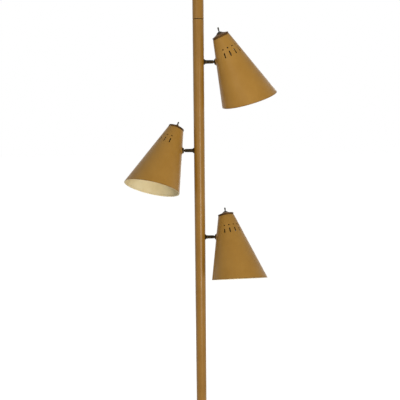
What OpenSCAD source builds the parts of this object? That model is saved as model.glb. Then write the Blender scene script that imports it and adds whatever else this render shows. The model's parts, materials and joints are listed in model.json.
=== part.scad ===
// Tension pole lamp: a spring-loaded pole that wedges between floor and ceiling,
// with three spun cone shades, each on a short arm with a ball swivel.
// Millimetres. Z is up, the origin is the centre of the floor pad's underside,
// and the shades stand to the left and right of the pole along X.

/* [Pole] */
// Outside diameter of the pole sections
pole_d = 25.4; // [22:0.2:32]
// Wall thickness of the pole sections
pole_wall = 1; // [0.8:0.1:1.4]
// Length of the lower and of the middle pole section, seam to seam
section_len = 940; // [880:5:1000]
// Length of the upper pole section
upper_len = 440; // [400:5:600]
// Height of the floor foot below the lower section
foot_h = 28; // [24:1:40]
// Diameter of the rubber floor pad
foot_pad_d = 46; // [40:1:60]
// Height of the dark bead between two sections
bead_h = 1.6; // [1:0.1:3]

/* [Ceiling end] */
// Outside diameter of the spring-loaded plunger tube
plunger_d = 16; // [12:0.5:18]
// Travel of the plunger against its spring
plunger_travel = 80; // [40:1:100]
// Diameter of the rubber ceiling pad
ceiling_pad_d = 42; // [34:1:60]
// Wire diameter of the tension spring
spring_wire = 1.8; // [1.2:0.1:2.4]
// Number of turns of the tension spring
spring_turns = 20; // [12:1:24]

/* [Arms] */
// Distance of the top arm below the upper seam
arm_drop = 92; // [80:1:150]
// Distance of the middle arm below the top one
middle_drop = 200.5; // [190:0.5:260]
// Distance of the bottom arm below the top one
bottom_drop = 408.5; // [380:0.5:520]
// Outside diameter of the arm
arm_d = 8; // [7:0.2:10]
// Distance from the pole's axis to the centre of the swivel ball
arm_reach = 40.1; // [38:0.1:60]
// Diameter of the swivel ball
ball_d = 11; // [10:0.2:12]

/* [Shades] */
// Outside diameter of the shade at its top
shade_top_d = 36.6; // [34:0.2:44]
// Outside diameter of the cone at its full length
shade_mouth_d = 128.6; // [110:0.2:150]
// Length of the cone on its axis
shade_len = 156.3; // [140:0.5:180]
// Wall thickness of the shade
shade_wall = 1; // [0.8:0.1:1.4]
// Slant of the mouth, which is shortest on the pole's side
mouth_slant = 8.2; // [0:0.2:12]
// Distance of the swivel ball below the top of the shade
ball_drop = 48.1; // [44:0.5:60]
// Number of vents in a full ring
vent_ring = 15; // [12:1:18]
// Number of vents left out on the arm's side
vents_left_out = 6; // [4:2:8]

/* [Bulb] */
// Largest diameter of the bulb
bulb_d = 58; // [45:1:60]
// Length of the glass below the bulb's base
bulb_len = 79.5; // [70:0.5:84]

/* [Hidden] */
$fn = 64;
HEADS = ["top", "middle", "bottom"];
// Each arm's distance below the top one and its direction, and each shade's rest pose on its ball
ARM_DROPS = [0, middle_drop, bottom_drop];
ARM_YAW = [0, 180, 0];
HEAD_ROLL = [8.6, 22.5, -21.8];
HEAD_TILT = [24.6, 20, 10];
HEAD_SWING = [-11.7, -3, -17.5];
// Way that each toggle leans at rest, turned from the shade's outer side
TOGGLE_TURN = [60, 284, 84];
ARM_PARTS = ["arm", "arm_nut"];
SHADE_PARTS = ["ball_cup", "ball_nut", "shade", "cap", "cap_nut", "switch_body", "socket_bracket",
    "socket", "screw_shell", "bulb_base", "bulb_glass"];
POLE_PARTS = ["foot_pad", "foot_plug", "lower_pole", "lower_ferrule", "middle_pole", "upper_ferrule",
    "upper_pole", "cord_grommet", "arm_collars", "guide_bushing", "spring_seat", "tension_spring",
    "plunger_tube", "plunger_stop", "ceiling_cup", "ceiling_pad"];
HEAD_PARTS = concat(ARM_PARTS, SHADE_PARTS, ["toggle_lever"]);

// Fits
running_gap = 0.05;
drop_in_gap = 0.1;
cut_over = 1;
cut_in = 0.01;

// Pole
pole_r = pole_d / 2;
bore_r = pole_r - pole_wall;
edge_r = 0.6;
lower_seam_z = foot_h + section_len;
upper_seam_z = lower_seam_z + section_len;
upper_end_z = upper_seam_z + upper_len;
ferrule_half = 38;
ferrule_wall = 1.2;
foot_pad_h = 7;
foot_pad_floor = 3;
edge_land = 5;
grip_depth = 0.8;
grommet_z = foot_h + 62;
grommet_hole_r = 4.8;
grommet_bore_r = 3.2;
grommet_lip = 1.6;

// Ceiling end
plunger_r = plunger_d / 2;
plunger_wall = 1.2;
bushing_flange_h = 3;
bushing_depth = 14;
stop_h = 8;
plunger_tail = 24;
cup_h = 15;
cup_socket = 9;
spare_travel = 8;
plunger_show = plunger_travel + cup_socket + spare_travel;
plunger_top_z = upper_end_z + bushing_flange_h + plunger_show;
stop_top_z = upper_end_z - bushing_depth;
ceiling_pad_h = 10;
cup_rim_r = ceiling_pad_d / 2 - 4;
total_z = plunger_top_z + cup_h - cup_socket + ceiling_pad_h;
spring_top_z = stop_top_z - stop_h;
spring_len = 230;
spring_r = 9.4;
spring_seat_z = spring_top_z - spring_len;
crimp_depth = 0.7;
crimp_half = 2.5;
seat_h = 10;

// Arms
arm_r = arm_d / 2;
arm_bore_r = 1.8;
arm_neck_r = 2.9;
arm_tail_r = 3.2;
arm_shoulder = pole_r + 0.3;
tail_end = 4.5;
collar_len = 5.4;
collar_r = 6.4;
nut_face = 9.8;
nut_h = 3.8;
ball_r = ball_d / 2;

// Shades
top_r = shade_top_d / 2;
mouth_r = shade_mouth_d / 2;
half_angle = atan((mouth_r - top_r) / shade_len);
slope = (mouth_r - top_r) / shade_len;
wall_h = shade_wall / cos(half_angle);
hem_h = 3.2;
hem_wall = 1.9;
top_band_h = 2.6;
groove_h = 1;
groove_depth = 0.6;
switch_hole_r = 3.4;
vent_pitch = 360 / vent_ring;
first_vent = (vents_left_out + 1) * vent_pitch / 2;
vent_count = vent_ring - vents_left_out;
dot_r = 1.7;
dot_drop = 29.5;
slot_r = 1.35;
slot_top = 38;
slot_bottom = 47.2;
cup_r = 7;
cup_open = 57;
cup_neck_end = -5;
cup_flange_r = 8.4;
cup_flange_h = 1.2;
ball_seat_r = ball_r + running_gap;
ball_nut_af = 17;
ball_nut_top = -2.6;
ball_nut_end = -7;
wire_hole_r = 2.2;
wire_way_r = 1.6;
nipple_r = 4.8;

// Cap, switch and toggle
cap_rim_r = 19;
cap_hub_r = 7.2;
cap_h = 5;
cap_sheet = 1;
nut_top_z = 7.4;
bushing_r = 3.1;
bushing_top_z = 8.4;
pivot_z = 5.2;
pivot_r = 1.8;
toggle_throw = 16;
toggle_len = 13.2;
strap = 1.2;
strap_w = 10;
strap_half = 13;
strap_top = -shade_wall;
strap_bottom = -23.1;
switch_top = strap_top - strap;
switch_h = 15.5;
switch_size = [15, 20];

// Socket and bulb
socket_r = 16.5;
socket_end = -54;
socket_well_r = 13.8;
socket_well_z = -29.5;
shell_r = 13.7;
shell_wall = 0.4;
base_r = 13.1;
base_top = -34;
base_end = -57;
bulb_r = bulb_d / 2;
bulb_neck_r = 12.4;
glass_wall = 0.9;
bulb_end = base_end - bulb_len;

// ---------------------------------------------------------------- helpers

// Points along an arc about [x, y], from angle a0 to angle a1
function arc(x, y, r, a0, a1, n = 10) =
    [for (i = [0 : n]) let (a = a0 + (a1 - a0) * i / n) [x + r * cos(a), y + r * sin(a)]];

// Outside radius of the cone at a distance below its top
function cone_r(drop) = top_r + slope * drop;

// A round piece from its outline, given as [radius, height] points
module turned(points) {
    rotate_extrude($fn = 96) polygon(points);
}

// A hollow tube that stands between two heights, with lightly rounded ends
module tube(r, wall, z0, z1, edge = 0) {
    e = max(edge, 0.01);
    turned([[r - wall, z0], [r - e, z0], [r, z0 + e], [r, z1 - e], [r - e, z1], [r - wall, z1]]);
}

// A hexagonal nut, bored through, with its corners turned back a little more at the top
module hex_nut(across, h, bore) {
    corner_r = across / sqrt(3);
    difference() {
        intersection() {
            cylinder(r = corner_r, h = h, $fn = 6);
            cylinder(r1 = corner_r * 0.97, r2 = corner_r * 0.92, h = h);
        }
        translate([0, 0, -cut_over]) cylinder(r = bore, h = h + 2 * cut_over);
    }
}

// The frame of an arm: X runs out along it from the pole's axis
module at_arm(i) {
    translate([0, 0, upper_seam_z - arm_drop - ARM_DROPS[i]]) rotate([0, 0, ARM_YAW[i]]) children();
}

// The frame of a shade: Z is the cone's axis and the top of the cone is at zero.
// Roll, tilt and swing all turn about the centre of the ball.
module at_shade(i) {
    at_arm(i)
        translate([arm_reach, 0, 0])
            rotate([HEAD_ROLL[i], 0, 0])
                rotate([0, -HEAD_TILT[i], 0])
                    rotate([0, 0, HEAD_SWING[i]])
                        translate([cone_r(ball_drop), 0, ball_drop])
                            children();
}

// A place on the cone's outer wall, with Z square to the wall and X down the slant
module on_wall(turn, drop) {
    rotate([0, 0, turn]) translate([cone_r(drop), 0, -drop]) rotate([0, 90 - half_angle, 0]) children();
}

// All that lies above the slanted mouth, raised by lift along the mouth's normal
module above_mouth(lift) {
    size = 4 * mouth_r;
    translate([0, 0, -shade_len])
        rotate([0, mouth_slant, 0])
            translate([-size / 2, -size / 2, lift])
                cube([size, size, size]);
}

// The solid cone, moved in from its outer face by an amount, from the top to past the mouth
module cone_body(inset, z0 = 0, z1 = -1.3 * shade_len) {
    cylinder_h = z0 - z1;
    translate([0, 0, z1])
        cylinder(r1 = cone_r(-z1) - inset, r2 = cone_r(-z0) - inset, h = cylinder_h, $fn = 128);
}

// ---------------------------------------------------------------- foot

// Ring grooves that let a rubber face grip; they are cut from the face at zero upwards
module grip_grooves(r) {
    groove_w = 1.2;
    groove_pitch = 4;
    for (groove_r = [r - edge_land : -groove_pitch : r - edge_land - 2 * groove_pitch])
        translate([0, 0, -cut_over]) difference() {
            cylinder(r = groove_r, h = grip_depth + cut_over);
            translate([0, 0, -cut_over]) cylinder(r = groove_r - groove_w, h = 4 * cut_over);
        }
}

module foot_pad() {
    r = foot_pad_d / 2;
    toe_r = 1.8;
    lip_r = 1.2;
    lean = 0.4;
    color("#26221f") difference() {
        turned(concat(
            [[0, 0]],
            arc(r - toe_r, toe_r, toe_r, -90, 0, 6),
            arc(r - lean - lip_r, foot_pad_h - lip_r, lip_r, 0, 90, 6),
            [[r - edge_land, foot_pad_h], [r - edge_land, foot_pad_floor], [0, foot_pad_floor]]));
        grip_grooves(r);
    }
}

// Turned plug: a drum in the pad, a swept neck, a shoulder under the pole and a hollow spigot in it
module foot_plug() {
    drum_r = foot_pad_d / 2 - edge_land;
    drum_z = foot_pad_h + 1;
    drum_edge = 2;
    sweep_r = 9.2;
    sweep_z = foot_pad_h + 12.5;
    shoulder_r = 1.6;
    spigot_r = bore_r - running_gap;
    spigot_wall = 2.5;
    spigot_top = foot_h + 28;
    chamfer = 1.5;
    color("#4a3823") turned(concat(
        [[0, foot_pad_floor], [drum_r, foot_pad_floor]],
        arc(drum_r - drum_edge, drum_z, drum_edge, 0, 70, 6),
        arc(drum_r - 1.5, sweep_z, sweep_r, 262, 178, 10),
        [[pole_r - 2.5, foot_h - 7]],
        arc(pole_r - shoulder_r, foot_h - 5, shoulder_r, 240, 360, 6),
        [[pole_r, foot_h - edge_r], [pole_r - edge_r, foot_h], [spigot_r, foot_h]],
        [[spigot_r, spigot_top - 2], [spigot_r - chamfer, spigot_top]],
        [[spigot_r - spigot_wall, spigot_top], [spigot_r - spigot_wall, foot_h + 2], [0, foot_h + 2]]));
}

// ---------------------------------------------------------------- pole

module lower_pole() {
    color("#a3793a") difference() {
        tube(pole_r, pole_wall, foot_h, lower_seam_z - bead_h / 2, edge_r);
        translate([0, 0, grommet_z]) rotate([-90, 0, 0]) cylinder(r = grommet_hole_r, h = 2 * pole_r);
    }
}

module middle_pole() {
    color("#a3793a") difference() {
        tube(pole_r, pole_wall, lower_seam_z + bead_h / 2, upper_seam_z - bead_h / 2, edge_r);
        for (i = [0 : len(HEADS) - 1])
            at_arm(i) rotate([0, 90, 0]) cylinder(r = arm_tail_r + drop_in_gap, h = 2 * pole_r);
    }
}

// The upper section has a rolled crimp that holds the spring seat
module upper_pole() {
    z0 = upper_seam_z + bead_h / 2;
    z1 = upper_end_z;
    crimp_z = spring_seat_z - seat_h / 2;
    sweep = 30;
    crimp_r = crimp_half / sin(sweep);
    crimp_x = pole_r - crimp_depth + crimp_r;
    color("#a3793a") turned(concat(
        [[pole_r - edge_r, z0], [pole_r, z0 + edge_r]],
        arc(crimp_x, crimp_z, crimp_r, 180 + sweep, 180 - sweep, 8),
        [[pole_r, z1 - edge_r], [pole_r - edge_r, z1], [bore_r, z1]],
        arc(crimp_x - pole_wall, crimp_z, crimp_r, 180 - sweep, 180 + sweep, 8),
        [[bore_r, z0]]));
}

// Sleeve that joins two sections, with the dark bead that shows as the seam
module ferrule(z) {
    r = bore_r - running_gap;
    bead_r = pole_r - 0.35;
    h = bead_h / 2;
    translate([0, 0, z]) turned(concat(
        [[r - ferrule_wall, -ferrule_half], [r - 1, -ferrule_half], [r, -ferrule_half + 3], [r, -h]],
        arc(bead_r - h, 0, h, -90, 90, 8),
        [[r, h], [r, ferrule_half - 3], [r - 1, ferrule_half], [r - ferrule_wall, ferrule_half]]));
}

module lower_ferrule() {
    color("#3a2c1e") ferrule(lower_seam_z);
}

module upper_ferrule() {
    color("#3a2c1e") ferrule(upper_seam_z);
}

// Bushing that lines the cord's way out of the back of the pole
module cord_grommet() {
    lip_r = grommet_hole_r + grommet_lip;
    neck_r = grommet_hole_r - running_gap;
    barb_r = neck_r + 0.8;
    lip_top = pole_r + 1.8;
    round_r = 1.2;
    throat_round = 1;
    inner_end = sqrt(bore_r * bore_r - lip_r * lip_r) - 1.4;
    color("#2b2622") translate([0, 0, grommet_z]) rotate([-90, 0, 0]) difference() {
        turned(concat(
            [[grommet_bore_r, inner_end], [barb_r, inner_end], [barb_r, bore_r - 3], [lip_r, bore_r - 3]],
            arc(lip_r - round_r, lip_top - round_r, round_r, 0, 90, 6),
            arc(grommet_bore_r + throat_round, lip_top - throat_round, throat_round, 90, 180, 6)));
        // The lips follow the pole's round wall, outside and inside
        rotate([90, 0, 0]) difference() {
            cylinder(r = pole_r, h = 4 * lip_r, center = true);
            cylinder(r = bore_r, h = 5 * lip_r, center = true);
            rotate([-90, 0, 0]) cylinder(r = neck_r, h = 2 * pole_r);
        }
        // The inner lip is pinched to go through the hole
        rotate([90, 0, 0]) difference() {
            cylinder(r = bore_r + cut_in, h = 4 * lip_r, center = true);
            rotate([-90, 0, 0]) cylinder(r = barb_r, h = 2 * pole_r);
        }
    }
}

// ---------------------------------------------------------------- ceiling end

// Ring that closes the upper section and guides the plunger
module guide_bushing() {
    spigot_r = bore_r - running_gap;
    slide_r = plunger_r + running_gap;
    flange_edge = 1.2;
    color("#4a3823") translate([0, 0, upper_end_z]) turned(concat(
        [[slide_r, -bushing_depth], [spigot_r, -bushing_depth], [spigot_r, 0], [pole_r, 0]],
        arc(pole_r - flange_edge, bushing_flange_h - flange_edge, flange_edge, 0, 90, 6),
        [[slide_r, bushing_flange_h]]));
}

// Plug held by the crimp in its groove, with a boss that centres the spring
module spring_seat() {
    r = bore_r - running_gap;
    groove_r = bore_r - crimp_depth - 0.2;
    groove_slope = 1.4;
    boss_r = spring_r - spring_wire / 2 - 0.4;
    boss_h = 7;
    nose = 1.5;
    mid_z = spring_seat_z - seat_h / 2;
    color("#6b6257") turned([
        [0, mid_z - seat_h / 2], [r, mid_z - seat_h / 2], [r, mid_z - 2 - groove_slope],
        [groove_r, mid_z - 2], [groove_r, mid_z + 2], [r, mid_z + 2 + groove_slope],
        [r, spring_seat_z], [boss_r, spring_seat_z],
        [boss_r, spring_seat_z + boss_h - nose], [boss_r - nose, spring_seat_z + boss_h],
        [0, spring_seat_z + boss_h]]);
}

// Height of the wire's centre after u turns: the end turns lie close, the others are open
function spring_z(u, h) = let (dead = spring_wire * 1.15)
    u < 1 ? u * dead
    : u > spring_turns - 1 ? h - (spring_turns - u) * dead
    : dead + (u - 1) / (spring_turns - 2) * (h - 2 * dead);

module tension_spring() {
    steps = 10;
    sides = 6;
    h = spring_len - spring_wire;
    n = spring_turns * steps;
    wire_r = spring_wire / 2 * 1.05;
    points = [for (k = [0 : n], s = [0 : sides - 1])
        let (turn = 360 * k / steps, side = 360 * s / sides, r = spring_r + wire_r * cos(side))
        [r * cos(turn), r * sin(turn), spring_z(k / steps, h) + wire_r * sin(side)]];
    walls = [for (k = [0 : n - 1], s = [0 : sides - 1])
        let (a = k * sides + s, b = k * sides + (s + 1) % sides)
        [a, b, b + sides, a + sides]];
    triangles = [for (w = walls) each [[w[0], w[2], w[1]], [w[0], w[3], w[2]]]];
    first = [for (s = [1 : sides - 2]) [0, s, s + 1]];
    last = [for (s = [1 : sides - 2]) [n * sides, n * sides + s + 1, n * sides + s]];
    color("#8a8780") translate([0, 0, spring_seat_z + wire_r])
        polyhedron(points, concat(triangles, first, last));
}

module plunger_tube() {
    color("#4a3823")
        tube(plunger_r, plunger_wall, stop_top_z - plunger_tail, plunger_top_z, 0.5);
}

// Ring that stops against the guide bushing and takes the push of the spring
module plunger_stop() {
    r = bore_r - 0.5;
    chamfer = 1;
    low = stop_top_z - stop_h;
    color("#6b6257") turned([
        [plunger_r, low], [r - chamfer, low], [r, low + chamfer], [r, stop_top_z - chamfer],
        [r - chamfer, stop_top_z], [plunger_r, stop_top_z]]);
}

// Cup that is pressed on the plunger and flares out to carry the ceiling pad
module ceiling_cup() {
    z = plunger_top_z - cup_socket;
    top = z + cup_h;
    neck_r = plunger_r + 2.2;
    neck_edge = 0.8;
    sweep_r = 5;
    rim_edge = 1.4;
    dish_z = top - rim_edge - 3.4;
    color("#4a3823") turned(concat(
        [[plunger_r, z], [neck_r - neck_edge, z], [neck_r, z + neck_edge]],
        arc(neck_r + sweep_r, z + 4, sweep_r, 180, 90, 8),
        [[cup_rim_r - 2, dish_z]],
        arc(cup_rim_r - rim_edge, dish_z + rim_edge, rim_edge, -90, 0, 6),
        [[cup_rim_r, top], [0, top], [0, plunger_top_z], [plunger_r, plunger_top_z]]));
}

// Rubber pad that grips round the cup's rim
module ceiling_pad() {
    r = ceiling_pad_d / 2;
    z = plunger_top_z - cup_socket + cup_h;
    skirt = 2.6;
    hem_r = 1.2;
    shoulder_r = 2.2;
    color("#26221f") difference() {
        turned(concat(
            [[0, z], [cup_rim_r, z], [cup_rim_r, z - skirt]],
            arc(r - hem_r, z - skirt + hem_r, hem_r, -90, 0, 5),
            arc(r - shoulder_r, total_z - shoulder_r, shoulder_r, 0, 90, 8),
            [[0, total_z]]));
        translate([0, 0, total_z]) mirror([0, 0, 1]) grip_grooves(r);
    }
}

// ---------------------------------------------------------------- arms

// Hollow arm: threaded tail through the pole's wall, round body, neck and ball
module arm() {
    neck_x = arm_reach - ball_r - 2.4;
    chamfer = 0.5;
    color("#33271b") difference() {
        union() {
            translate([arm_reach, 0, 0]) sphere(r = ball_r);
            rotate([0, 90, 0]) turned([
                [0, tail_end], [arm_tail_r - chamfer, tail_end], [arm_tail_r, tail_end + chamfer],
                [arm_tail_r, arm_shoulder], [arm_r, arm_shoulder], [arm_r, neck_x],
                [arm_r - chamfer, neck_x + chamfer], [arm_neck_r, neck_x + 4 * chamfer],
                [arm_neck_r, arm_reach], [0, arm_reach]]);
        }
        rotate([0, 90, 0]) cylinder(r = arm_bore_r, h = 2 * arm_reach);
    }
}

// Nut inside the pole, with its washer
module arm_nut() {
    across = 10;
    washer_r = 4.6;
    washer_h = 0.7;
    color("#7d7466") translate([nut_face - nut_h, 0, 0]) rotate([0, 90, 0]) difference() {
        union() {
            hex_nut(across, nut_h, arm_tail_r);
            cylinder(r = washer_r, h = nut_h + washer_h);
        }
        translate([0, 0, -cut_over]) cylinder(r = arm_tail_r, h = nut_h + 4 * cut_over);
    }
}

// Flared collars that seat the arms on the pole
module arm_collars() {
    bore = arm_r + running_gap;
    flange_top = pole_r + 1.5;
    edge = 0.6;
    sweep_r = 1.7;
    sweep_x = pole_r + 3.5;
    mouth_wall = 0.35;
    color("#4a3823") for (i = [0 : len(HEADS) - 1])
        at_arm(i) difference() {
            rotate([0, 90, 0]) turned(concat(
                [[bore, pole_r - 3], [collar_r, pole_r - 3]],
                arc(collar_r - edge, flange_top - edge, edge, 0, 90, 4),
                arc(collar_r - 0.4, sweep_x, sweep_r, 255, 180, 6),
                [[bore + mouth_wall, pole_r + collar_len], [bore, pole_r + collar_len]]));
            cylinder(r = pole_r, h = 4 * collar_r, center = true);
        }
}

// ---------------------------------------------------------------- shade

// One vent: a round hole with a slot below it
module vent() {
    depth = 6;
    step = (slot_bottom - slot_top) / cos(half_angle);
    on_wall(0, dot_drop) cylinder(r = dot_r, h = depth, center = true);
    on_wall(0, slot_top) {
        cylinder(r = slot_r, h = depth, center = true);
        translate([step, 0, 0]) cylinder(r = slot_r, h = depth, center = true);
        translate([0, -slot_r, -depth / 2]) cube([step, 2 * slot_r, depth]);
    }
}

// Spun cone with a flat top, a banded shoulder, vents and a hemmed, slanted mouth
module shade() {
    color("#a3793a") difference() {
        intersection() {
            cone_body(0);
            above_mouth(0);
        }
        intersection() {
            cone_body(wall_h, -shade_wall);
            above_mouth(hem_h);
        }
        cone_body(hem_wall, -shade_len / 2);
        // Groove below the top band
        translate([0, 0, -top_band_h - groove_h]) difference() {
            cylinder(r = 2 * top_r, h = groove_h);
            cylinder(r = cone_r(top_band_h) - groove_depth, h = groove_h);
        }
        translate([0, 0, -2 * shade_wall]) cylinder(r = switch_hole_r, h = 3 * shade_wall);
        on_wall(180, ball_drop) cylinder(r = cup_r + drop_in_gap, h = 20, center = true);
        for (k = [0 : vent_count - 1])
            rotate([0, 0, 180 + first_vent + k * vent_pitch]) vent();
    }
}

// Outer half of the swivel, with a saddle flange that follows the cone
module ball_cup() {
    lip_z = cup_r * cos(cup_open);
    throat = 0.6;
    color("#a3793a") difference() {
        union() {
            on_wall(180, ball_drop) turned(concat(
                [[0, cup_neck_end], [cup_r, cup_neck_end]],
                arc(0, 0, cup_r, 0, 90 - cup_open, 8),
                [[0, lip_z]]));
            intersection() {
                cone_body(-cup_flange_h);
                on_wall(180, ball_drop) translate([0, 0, cup_neck_end])
                    cylinder(r = cup_flange_r, h = 3 * cup_r);
            }
        }
        intersection() {
            cone_body(0);
            on_wall(180, ball_drop) difference() {
                cylinder(r = 2 * cup_flange_r, h = 40, center = true);
                cylinder(r = cup_r, h = 50, center = true);
            }
        }
        on_wall(180, ball_drop) {
            sphere(r = ball_seat_r);
            translate([0, 0, cup_neck_end - cut_over])
                cylinder(r = ball_seat_r, h = cut_over - cup_neck_end);
            cylinder(r1 = throat, r2 = throat + cup_r * tan(cup_open), h = cup_r);
        }
    }
}

// Inner nut that draws the cup against the wall, with a dished end that presses on the ball
module ball_nut() {
    hex_h = ball_nut_top - cup_neck_end;
    boss_h = cup_neck_end - ball_nut_end;
    color("#8d8677") on_wall(180, ball_drop) difference() {
        union() {
            translate([0, 0, cup_neck_end]) hex_nut(ball_nut_af, hex_h, cup_r);
            translate([0, 0, ball_nut_end]) cylinder(r1 = cup_r - 0.6, r2 = cup_r + 1, h = boss_h);
        }
        sphere(r = ball_seat_r);
        translate([0, 0, ball_nut_end - cut_over]) cylinder(r = wire_hole_r, h = 3 * cut_over);
    }
}

// Low bell cap that covers the top of the shade
module cap() {
    run = cap_rim_r - cap_hub_r;
    sag_r = 34;
    rim_edge = 0.4;
    chord = sqrt(run * run + (cap_h - 1) * (cap_h - 1));
    lean = atan((cap_h - 1) / run);
    half = asin(chord / 2 / sag_r);
    centre_a = 90 - lean;
    centre = [(cap_rim_r + cap_hub_r) / 2 + sag_r * cos(half) * cos(centre_a),
              (cap_h + 1) / 2 + sag_r * cos(half) * sin(centre_a)];
    color("#4a3320") turned(concat(
        [[switch_hole_r, cap_h - cap_sheet], [cap_hub_r - 0.4, cap_h - cap_sheet]],
        arc(centre[0], centre[1], sag_r + cap_sheet, 180 + centre_a - half, 180 + centre_a + half, 8),
        [[cap_rim_r - 1.6, 0], [cap_rim_r - rim_edge, 0], [cap_rim_r, rim_edge], [cap_rim_r, 2 * rim_edge]],
        arc(centre[0], centre[1], sag_r, 180 + centre_a + half, 180 + centre_a - half, 8),
        [[switch_hole_r, cap_h]]));
}

// Ring nut with a fluted edge that clamps the cap on the switch
module cap_nut() {
    base_r = 6.6;
    crown_r = 4.3;
    flutes = 16;
    flute_r = 0.55;
    h = nut_top_z - cap_h;
    color("#6b5a3c") translate([0, 0, cap_h]) difference() {
        turned([[bushing_r, 0], [base_r, 0], [base_r, 0.8], [crown_r, h], [bushing_r, h]]);
        for (k = [0 : flutes - 1])
            rotate([0, 0, 360 / flutes * k]) translate([base_r + flute_r / 2, 0, -cut_over])
                cylinder(r = flute_r, h = h + 2 * cut_over, $fn = 16);
    }
}

// Switch block with its threaded bushing, bored for the lever
module switch_body() {
    half = switch_size / 2;
    lever_z = pivot_z - 1;
    well_r = 2.4;
    well_z = -1;
    throat_r = 2.7;
    seat_r = pivot_r + running_gap;
    color("#3b342c") difference() {
        union() {
            translate([-half[0], -half[1], switch_top - switch_h])
                cube([switch_size[0], switch_size[1], switch_h]);
            translate([0, 0, switch_top - cut_over])
                cylinder(r = bushing_r, h = bushing_top_z - switch_top + cut_over);
        }
        turned([
            [0, well_z], [well_r, well_z], [well_r, lever_z - 0.4], [seat_r, lever_z],
            [seat_r, pivot_z + 1], [throat_r, bushing_top_z], [throat_r, bushing_top_z + cut_over],
            [0, bushing_top_z + cut_over]]);
    }
}

// Closed strap that hangs the lamp socket below the switch
module socket_bracket() {
    h = strap_top - strap_bottom;
    color("#8d8677") difference() {
        translate([-strap_w / 2, -strap_half, strap_bottom]) cube([strap_w, 2 * strap_half, h]);
        translate([-strap_w, strap - strap_half, strap_bottom + strap])
            cube([2 * strap_w, 2 * (strap_half - strap), h - 2 * strap]);
        translate([0, 0, strap_bottom - cut_over])
            cylinder(r = nipple_r + drop_in_gap, h = 3 * cut_over + strap);
        translate([0, 0, strap_top - 2 * strap]) cylinder(r = bushing_r + drop_in_gap, h = 3 * strap);
    }
}

// Moulded lamp socket with a threaded nipple and a flared skirt
module socket() {
    z = strap_bottom;
    edge = 0.6;
    shoulder_r = 4;
    lip_h = 6;
    color("#2e2a26") turned(concat(
        [[wire_way_r, z + 5], [nipple_r - 0.3, z + 5], [nipple_r, z + 4.7], [nipple_r, z], [7, z]],
        arc(socket_r - 1 - shoulder_r, z - 1 - shoulder_r, shoulder_r, 90, 0, 8),
        [[socket_r - 1, socket_end + lip_h], [socket_r, socket_end + lip_h - 2]],
        [[socket_r, socket_end + edge], [socket_r - edge, socket_end], [socket_well_r, socket_end]],
        [[socket_well_r, socket_well_z], [wire_way_r, socket_well_z]]));
}

// Brass screw shell inside the socket
module screw_shell() {
    z = socket_well_z;
    mouth = socket_end + 1.5;
    inner_r = shell_r - shell_wall;
    eye_r = 2;
    color("#b8923f") turned([
        [eye_r, z], [shell_r, z], [shell_r, mouth], [inner_r, mouth], [inner_r, z - shell_wall],
        [eye_r, z - shell_wall]]);
}

// Screw base of the bulb: metal cup, glass bead and end contact
module bulb_base() {
    cup_wall = 0.5;
    shoulder = 2.5;
    contact_r = 3.2;
    color("#b9b4aa") turned([
        [0, base_top + 3], [contact_r - 0.6, base_top + 2.4], [contact_r, base_top + 1.2],
        [2 * contact_r, base_top + 0.6], [base_r - shoulder, base_top], [base_r, base_top - shoulder],
        [base_r, base_end], [base_r - cup_wall, base_end], [base_r - cup_wall, base_top - shoulder],
        [base_r - shoulder - cup_wall, base_top - cup_wall], [0, base_top - cup_wall]]);
}

// Outline of the bulb at an inset from its outer face: neck, cone that meets the round end
function bulb_line(inset) = let (
    r = bulb_r - inset,
    neck = bulb_neck_r - inset,
    centre = bulb_end + bulb_r,
    neck_z = base_end - 8,
    reach = neck_z - centre,
    far = sqrt(reach * reach + neck * neck),
    touch = atan2(reach, neck) - acos(r / far))
    concat([[neck, base_top - 4], [neck, neck_z]], arc(0, centre, r, touch, -90, 14));

module bulb_glass() {
    outer = bulb_line(0);
    inner = bulb_line(glass_wall);
    last = len(inner) - 1;
    color("#f2efe6") turned(concat(outer, [for (k = [0 : last]) inner[last - k]]));
}

// Bat lever on a round pivot, drawn where it leans at rest
module toggle_lever() {
    tip_r = 1.9;
    stem_r = 1.25;
    color("#4b4a3c") translate([0, 0, pivot_z]) union() {
        sphere(r = pivot_r);
        turned(concat(
            [[0, -2.8], [1, -2.8], [stem_r, -2.4], [stem_r, 4.4], [tip_r - 0.15, toggle_len - 5.5]],
            arc(0, toggle_len - tip_r, tip_r, 0, 90, 8)));
    }
}

module lean_toggle(i) {
    rotate([0, 0, TOGGLE_TURN[i]]) translate([0, 0, pivot_z]) rotate([0, toggle_throw, 0])
        translate([0, 0, -pivot_z]) children();
}

// ---------------------------------------------------------------- assembly

foot_pad();
foot_plug();
lower_pole();
lower_ferrule();
middle_pole();
upper_ferrule();
upper_pole();
cord_grommet();
arm_collars();
guide_bushing();
spring_seat();
tension_spring();
plunger_tube();
plunger_stop();
ceiling_cup();
ceiling_pad();
for (i = [0 : len(HEADS) - 1]) {
    head = HEADS[i];
    at_arm(i) arm();
    at_arm(i) arm_nut();
    at_shade(i) ball_cup();
    at_shade(i) ball_nut();
    at_shade(i) shade();
    at_shade(i) cap();
    at_shade(i) cap_nut();
    at_shade(i) switch_body();
    at_shade(i) socket_bracket();
    at_shade(i) socket();
    at_shade(i) screw_shell();
    at_shade(i) bulb_base();
    at_shade(i) bulb_glass();
    at_shade(i) lean_toggle(i) toggle_lever();
}
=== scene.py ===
"""Looks of a tension pole lamp: a tan enamelled pole with three cone shades on short swivel arms.

Sizes are in millimetres until a mesh is made, Z is up and the pole stands on the origin.
The arms run along X, and the camera looks along +Y. Each turned piece is modelled upright
about its own axis, as on a lathe, and is then set in its place on the lamp.
"""

import json
import logging
import math
from collections.abc import Callable, Sequence
from dataclasses import dataclass, field
from enum import Enum

import bmesh
import bpy
from mathutils import Euler, Matrix, Vector


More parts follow.
